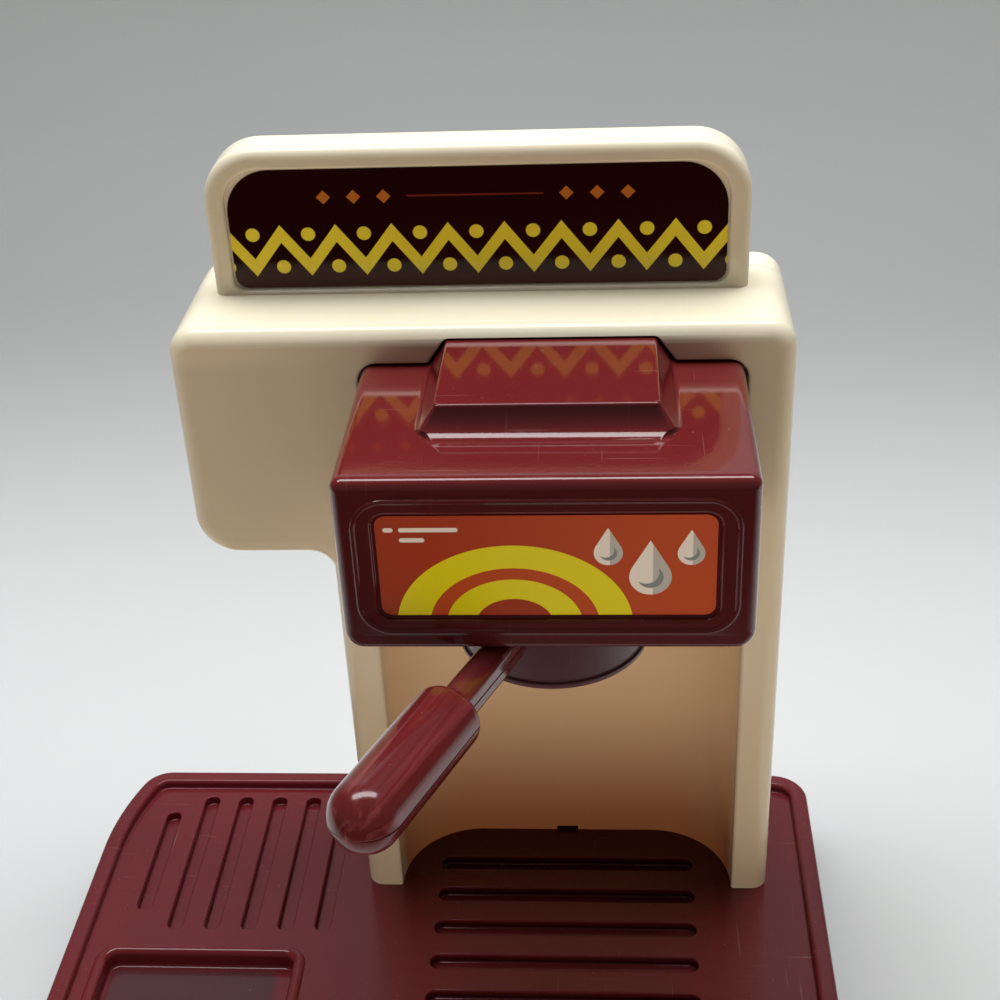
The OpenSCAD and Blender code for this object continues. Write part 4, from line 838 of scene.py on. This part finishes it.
def hump_row(height, grow=0, side_grow=0):
    """One level of the hump, from its right back, round its cut corner, to its left back."""
    x = HUMP_X - HUMP_LEAN * min(height, HUMP_TURN) + side_grow - grow
    y = HUMP_Y + sqrt(HUMP_R ** 2 - (HUMP_R - min(height, HUMP_TURN)) ** 2) + grow
    cut_x = max(CUT_LEAST, x - CUT_X - (y - HUMP_Y) * CUT_SLOPE)
    cut_y = max(CUT_LEAST, HUMP_Y + (x - CUT_X) / CUT_SLOPE - y)
    bow = Vector((x, y)).lerp(Vector((x - cut_x / 2, y + cut_y / 2)), 0.25 if cut_x < CUT_SMALL else 0.7)
    right = [Vector((x, HEAD_BACK)), Vector((x, y + SIDE_START))]
    for k in range(9):
        t = k / 8
        ends = (1 - t) ** 2 * Vector((x, y + cut_y)), t ** 2 * Vector((x - cut_x, y))
        right.append(ends[0] + 2 * t * (1 - t) * bow + ends[1])
    return head.row([(p.x, p.y, HEAD_TOP + height) for p in right]
                    + [(-p.x, p.y, HEAD_TOP + height) for p in reversed(right)])


levels = [hump_row(h, 0, HUMP_EDGE * (1 - h / HUMP_EDGE) ** 2) for h in (0, 0.12, 0.3, 0.55, HUMP_EDGE)]
levels += [hump_row(h) for h in (1.4, 2, 2.8, 3.7, 4.6, 5.4, HUMP_TURN)]
for turn in (18, 36, 54, 72, 90):
    a = radians(turn)
    levels.append(hump_row(HUMP_TURN + HUMP_EDGE * sin(a), HUMP_EDGE * (1 - cos(a))))
head.rows(levels, closed=False)
head.fill(levels[-1])
sides = (ring, at_front, at_step, at_back)
head.fill([row[-1] for row in reversed(sides)] + [row[0] for row in sides] + levels[0][::-1])
head.fill(at_back[:step_at + 1] + at_back[-step_at - 1:] + around(levels))

# the front: bead line, panel and recess, whose faces wear the darker copy as painted shade
PANEL, WELL = (-45.8, 142.6, 45.8, 180.7, 8.5), (-41, 146.4, 41, 176.4, 3.6)
BEAD = ((-0.35, 0), (-0.1, 0.06), (0.02, 0.2), (0.1, 0.4), (0.3, 0.56), (0.6, 0.6), (0.9, 0.56), (1.1, 0.4),
        (1.18, 0.2), (1.3, 0.06), (1.55, 0))
WELL_LIP, WELL_DEEP, WELL_FOOT = 0.8, 1.5, 0.25
bead = head.wall(panel(*PANEL), [(x, -HEAD_OUT - y) for x, y in BEAD])
well = head.wall(panel(*WELL), [(-x, y - HEAD_OUT) for x, y in nose(WELL_LIP, 5)]
                 + [(0, WELL_DEEP - WELL_FOOT - HEAD_OUT), (WELL_FOOT, WELL_DEEP - HEAD_OUT)], tag=1)
head.fill(rows[0], bead[0])
head.fill(bead[-1], well[0], tag=1)
head.fill(well[-1], tag=1)
wears(head.make("head_shell", burgundy_head, burgundy_panel_painted_shade), "stand", "head_housing")

# ---------------- head label
# The same kind of film in orange, with a low yellow sun in rings, three drops
# and small bars.
ORANGE, RED, YELLOW = (0.52, 0.076, 0.018, 1), (0.38, 0.046, 0.015, 1), (0.79, 0.74, 0.008, 1)
WHITE, PALE_GREY, GREY = (0.86, 0.83, 0.82, 1), (0.5, 0.52, 0.53, 1), (0.24, 0.28, 0.31, 1)
LABEL = (-40.1, 147.3, 40.1, 175.5, 2.7)
head_film, n, bsdf = film("orange_printed_film", 0.24, TOWER_X, BASE_H + (LABEL[1] + LABEL[3]) / 2)
tone = n.mix(n.ramp(n.x, -42, 42), RED, ORANGE)
for radius, ink in ((28.5, YELLOW), (20.5, ORANGE), (16.5, YELLOW), (9.5, RED)):
    tone = n.mix(n.disc(-8, -17, radius, 1.25), tone, ink)
for x, z, r in ((24.5, -3.2, 5), (14.6, 3.6, 3.4), (34, 3.4, 3.2)):
    lean = n.product(n.apart(n.x, x), 1.75)
    tip = n.within(n.math("ADD", lean, n.less(n.z, z)), r * 2.05)
    drop = n.either(n.disc(x, z, r), n.product(tip, n.ramp(n.z, z + r * 0.4, z + r * 0.45)))
    shade = n.product(drop, n.ramp(n.x, x + r * 0.1, x + r * 0.14))
    outside = n.less(1, n.disc(x - r * 0.2, z + r * 0.25, r * 0.62))
    tone = n.mix(shade, n.mix(drop, tone, WHITE), PALE_GREY)
    tone = n.mix(n.product(n.disc(x, z, r * 0.62), outside), tone, GREY)
bars = [n.bar(*bar, 0.6, 0.58) for bar in ((-27.5, 10.2, 7), (-37, 10.2, 1.2), (-31.5, 7.4, 3))]
n.give(bsdf, {"Base Color": n.mix(n.either(*bars), tone, WHITE)})
wears(sheet("head_film", panel(*LABEL), WELL_DEEP - HEAD_OUT, head_film),
      "stand", "head_label")

# ---------------- head floor
# The dark plate under the head, with the portafilter's pivot post and its stop
# peg. It keeps the CAD's own shape, and screws hold it from below.
polished("head_floor_plate", "head_floor", "stand", dark)

# ---------------- filter cup
# The dark cup of the portafilter, moulded in one piece: a drum with a lip at
# its foot, and a hub round the pivot post. It turns under the head.
burgundy_cup = plastic("burgundy_cup_plastic", (0.078, 0.028, 0.04), (0.062, 0.022, 0.032), rough=0.24)
PIVOT, CUP_FOOT, CUP_TOP, HUB_FOOT, HUB_FLOOR = (0, -27.5), 120, 139.6, 126.85, 129.05
WELL_R, HUB_R, HUB_BORE, RIB_R, INNER_R = 9.46, 11.46, 6.06, 9.06, 22.2
cup_profile = ([(WELL_R, HUB_FOOT), (WELL_R, 120.3), (WELL_R + 0.3, CUP_FOOT)]
               + bend(24.3, 120.8, 0.8, 270, 360, 4) + [(25.1, 121.3)]
               + bend(24.75, 121.5, 0.35, 0, 90, 3)
               + bend(24.9, 122.35, 0.5, 270, 180, 3)
               + [(24.4, 139.3), (24.1, CUP_TOP), (22.5, CUP_TOP), (INNER_R, 139.3), (INNER_R, 122.9)]
               + bend(21.5, 122.9, 0.7, 360, 270, 3)
               + [(HUB_R, 122.2), (HUB_R, HUB_FLOOR), (RIB_R, HUB_FLOOR), (RIB_R, CUP_TOP),
                  (HUB_BORE, CUP_TOP), (HUB_BORE, HUB_FOOT)])
CUP_SIDES = 96
angles = [tau * k / CUP_SIDES for k in range(CUP_SIDES)]
cup = Skin()
rows = [cup.row((PIVOT[0] + r * cos(a), PIVOT[1] + r * sin(a), z) for a in angles)
        for r, z in cup_profile]
cup.rows(rows + [rows[0]])

HANDLE_TURN, HANDLE_Z, ROOT_S, ROOT_MOUTH, ROOT_END = 24, 133.4, 18.13, -20, -4.7
HANDLE_AXIS = Vector((-sin(radians(HANDLE_TURN)), -cos(radians(HANDLE_TURN))))
HANDLE_SIDE = Vector((HANDLE_AXIS.y, -HANDLE_AXIS.x))


def on_handle(s, u, v):
    """The point s along the handle from the pivot, u to its side and v over its seam."""
    return (PIVOT[0] + HANDLE_AXIS.x * s + HANDLE_SIDE.x * u,
            PIVOT[1] + HANDLE_AXIS.y * s + HANDLE_SIDE.y * u, HANDLE_Z + v)


wears(holed("portafilter_cup", cup.make("filter_cup_drum", burgundy_cup), burgundy_cup,
            (on_handle(ROOT_S, 0, ROOT_MOUTH), on_handle(ROOT_S, 0, ROOT_END))),
      "portafilter", "filter_cup")


# ---------------- handle
# The square bar and the round grip are moulded in two halves, which two screws
# draw together from below. A groove marks the seam, and fine flow lines from
# the mould run along the handle, with painted highlight streaks in a few paler lines.
def along_handle(n, place, fine):
    """A mask of soft lines along the handle, about as many in a metre as fine says."""
    inputs = {"Vector": place, "Rotation": (0, 0, -radians(HANDLE_TURN)),
              "Scale": (1 / fine, 0.08, 1 / fine)}
    return n.noise(n.first("ShaderNodeMapping", inputs, vector_type="TEXTURE"), 1)


def handle_painted_streaks(n, place, tone):
    """The tone of the handle, with painted highlight streaks in a few paler lines along it."""
    # painted highlight streaks along the handle
    return n.mix(n.ramp(along_handle(n, place, 460), 0.48, 0.68, 0, 0.45), tone, (0.225, 0.045, 0.05, 1))


def flow_lines(n, place, rough, normal):
    """Roughness and normal with fine lines along the handle."""
    lines = along_handle(n, place, 1400)
    return n.math("ADD", rough, n.ramp(lines, 0.35, 0.7, 0, 0.1)), n.bump(lines, 0.000012, normal)


burgundy_grip = plastic("burgundy_grip_plastic", (0.112, 0.0105, 0.0125), (0.092, 0.009, 0.0105), rough=0.15,
                        coat=0.6, painted_light_tint=handle_painted_streaks, streaks=flow_lines)
BAR, BAR_R, GRIP_R, GRIP_START, GRIP_TIP, SHOULDER = 4, 1.8, 8.7, 55, 94, 3
SEAM_DRAW, SEAM_HEIGHT, HALF_STEPS = (0, 0.12, 0.4), (0.28, 0.1, 0), 40
TENON, TENON_ENDS = ((-3, 0), (3, 0), (3, 3), (-3, 3)), (12, 26.2)
GRIP_SCREWS, SCREW_MOUTH, SCREW_END = (GRIP_START + 12, GRIP_TIP - 4), -12, -5.7


def bar_reach(turn):
    """How far the bar's round square reaches at an angle round its axis."""
    c, s = abs(cos(turn)), abs(sin(turn))
    k = BAR - BAR_R
    if min(c, s) / max(c, s) <= k / BAR:
        return BAR / max(c, s)
    return k * (c + s) + sqrt((k * (c + s)) ** 2 - 2 * k * k + BAR_R ** 2)


def arch(half, sign, s, reach):
    """Half a ring round the handle's axis, drawn in a little at the seam."""
    points = []
    for k in range(-2, HALF_STEPS + 3):
        turn = pi * min(max(k, 0), HALF_STEPS) / HALF_STEPS
        r = reach(turn)
        u, v = r * cos(turn), r * sin(turn)
        near = max(0, -k, k - HALF_STEPS)
        if near or k in (0, HALF_STEPS):
            small = min(1, r / BAR)
            u -= copysign(SEAM_DRAW[near] * small, u)
            v = SEAM_HEIGHT[near] * small
        points.append(on_handle(s, u, sign * v))
    return half.row(points)


stations = ((25.4, 0.94), (25.7, 1), (GRIP_START - 0.5, 1), (GRIP_START - 0.15, 1.08), (GRIP_START, 1.25))
grip_line = (bend(GRIP_START + SHOULDER, GRIP_R - SHOULDER, SHOULDER, 180, 90, 8)
             + [(66, GRIP_R), (78, GRIP_R)] + bend(GRIP_TIP, 0, GRIP_R, 90, 4, 16))
for name, sign in (("handle_upper", 1), ("handle_lower", -1)):
    half = Skin()
    rows = [arch(half, sign, s, lambda turn, k=k: bar_reach(turn) * k) for s, k in stations]
    rows += [arch(half, sign, s, lambda turn, r=r: r) for s, r in grip_line]
    half.rows(rows, closed=False)
    half.caps(rows[0], rows[-1], around(rows))
    half.caps(*half.rows([half.row(on_handle(s, u, sign * v) for u, v in TENON) for s in TENON_ENDS]))
    piece = half.make(name, burgundy_grip)
    if sign < 0:
        holes = [(on_handle(s, 0, SCREW_MOUTH), on_handle(s, 0, SCREW_END)) for s in GRIP_SCREWS]
        piece = holed(name + "_shell", piece, burgundy_grip, *holes)
    wears(piece, "portafilter", name + "_half")

# ---------------- fasteners
# Zinc-plated cross-head screws hold the shells, the floor, the sign and the
# handle. One Geometry Nodes tree makes the screw and sets it at each place
# that the CAD has. Two washers sit under the hub on the pivot post.
steel, n, bsdf = material("zinc_plated_steel")
place = n.place()
lines = n.noise(n.first("ShaderNodeMapping", {"Vector": place, "Scale": (900, 900, 60)}), 1)
dull = n.ramp(n.noise(place, 160, 3), 0.4, 0.7)
n.give(bsdf, {"Base Color": n.mix(dull, (0.62, 0.62, 0.6, 1), (0.46, 0.45, 0.42, 1)), "Metallic": 1,
              "Roughness": n.ramp(lines, 0.3, 0.7, 0.24, 0.42), "Normal": n.bump(lines, 0.00001)})


def screw_tree():
    """A tree that sets a cross-head screw on each point, as (tree, identifiers of its inputs)."""
    tree, g, given = group("GeometryNodeTree", "cross_head_screws", {
        "Geometry": "Geometry", "Head Radius": "Float", "Head Height": "Float", "Shank Radius": "Float",
        "Length": "Float", "Drive Direction": "Vector",
    }, {"Geometry": "Geometry"})
    wide, rise, long = given["Head Radius"], given["Head Height"], given["Length"]

    def form(kind, inputs, **settings):
        return g.first("GeometryNode" + kind, inputs, **settings)

    def lifted(shape, z):
        move = g.first("ShaderNodeCombineXYZ", {"Z": z})
        return form("Transform", {"Geometry": shape, "Translation": move})

    def joined(kind, socket, shapes, inputs=None, **settings):
        node = g.add("GeometryNode" + kind, inputs, **settings)
        for shape in shapes:
            g.give(node, {socket: shape})
        return node.outputs[0]

    low = g.product(rise, 0.68)
    drum = lifted(form("MeshCylinder", {"Vertices": 36, "Radius": wide, "Depth": low}), g.product(low, -0.5))
    crown = form("MeshCone", {"Vertices": 36, "Radius Top": g.product(wide, 0.74),
                              "Radius Bottom": g.product(wide, 0.985), "Depth": g.product(rise, 0.36)})
    crown = form("Transform", {"Geometry": crown, "Rotation": (pi, 0, 0)})
    crown = lifted(crown, g.product(rise, -0.64))
    arm = {"X": g.product(wide, 1.25), "Y": g.product(wide, 0.25), "Z": rise}
    bar = lifted(form("MeshCube", {"Size": g.first("ShaderNodeCombineXYZ", arm)}), g.product(rise, -0.95))
    across = form("Transform", {"Geometry": bar, "Rotation": (0, 0, pi / 2)})
    top = joined("MeshBoolean", "Mesh 2", (drum, crown), operation="UNION", solver="EXACT")
    cross = joined("MeshBoolean", "Mesh 2", (bar, across), {"Mesh 1": top}, operation="DIFFERENCE",
                   solver="EXACT")
    shank = form("MeshCylinder", {"Vertices": 24, "Radius": given["Shank Radius"], "Depth": long})
    screw = joined("JoinGeometry", 0, (cross, lifted(shank, g.product(long, 0.499))))
    facing = g.first("FunctionNodeAlignRotationToVector", {"Vector": given["Drive Direction"]}, axis="Z")
    spots = form("MeshToPoints", {"Mesh": given["Geometry"]})
    many = form("InstanceOnPoints", {"Points": spots, "Instance": screw, "Rotation": facing})
    real = form("RealizeInstances", {"Geometry": many})
    g.add("NodeGroupOutput", {0: form("SetMaterial", {"Geometry": real, "Material": steel})})
    return tree, {socket.name: socket.identifier for socket in given}


screws, screw_inputs = screw_tree()
SMALL, LARGE = (2.7, 1.6, 1.4), (3.4, 2, 1.6)  # head radius, head height, shank radius
UP, AHEAD = (0, 0, 1), (0, -1, 0)
for node, name, body, drive, size in (
    ("base_plate_screws", "screws_base_plate", "stand", UP, SMALL),
    ("tower_base_screws", "screws_tower_foot", "stand", UP, SMALL),
    ("tower_shell_screws", "screws_tower_back", "stand", AHEAD, SMALL),
    ("sign_screws", "screws_sign", "stand", UP, SMALL),
    ("head_mount_screws", "screws_head_ears", "stand", AHEAD, SMALL),
    ("head_floor_screws", "screws_head_floor", "stand", UP, SMALL),
    ("pivot_screw", "screw_pivot", "stand", UP, LARGE),
    ("handle_shell_screws", "screws_grip", "portafilter", UP, SMALL),
    ("handle_root_screw", "screw_handle_root", "portafilter", UP, SMALL),
):
    aim = Vector(drive)
    spots, long = [], 0
    for low, high in solids(node):
        long = abs((high - low).dot(aim)) - size[1]
        spots.append(TO_ROW @ ((low + high) / 2 + aim * (size[1] - long) / 2))
    mesh = bpy.data.meshes.new(name)
    mesh.from_pydata(spots, [], [])
    piece = added(name, mesh)
    maker = piece.modifiers.new("screws", "NODES")
    maker.node_group = screws
    for label, value in zip(("Head Radius", "Head Height", "Shank Radius", "Length"), (*size, long)):
        maker[screw_inputs[label]] = value / 1000
    maker[screw_inputs["Drive Direction"]] = drive
    mesh = settled(piece)
    bpy.data.objects.remove(piece)
    wears(finished(name, mesh, [steel]), body, node)

felt, n, bsdf = material("grey_felt")
hair = n.noise(n.place(), 2600, 3, Distortion=1.5)
n.give(bsdf, {"Base Color": n.mix(n.ramp(hair, 0.35, 0.65), (0.17, 0.16, 0.15, 1), (0.28, 0.26, 0.24, 1)),
              "Normal": n.bump(hair, 0.0002), "Roughness": 0.95})

polished("washer_pivot", "pivot_washer", "stand", steel)
polished("washer_felt", "friction_washer", "stand", felt)
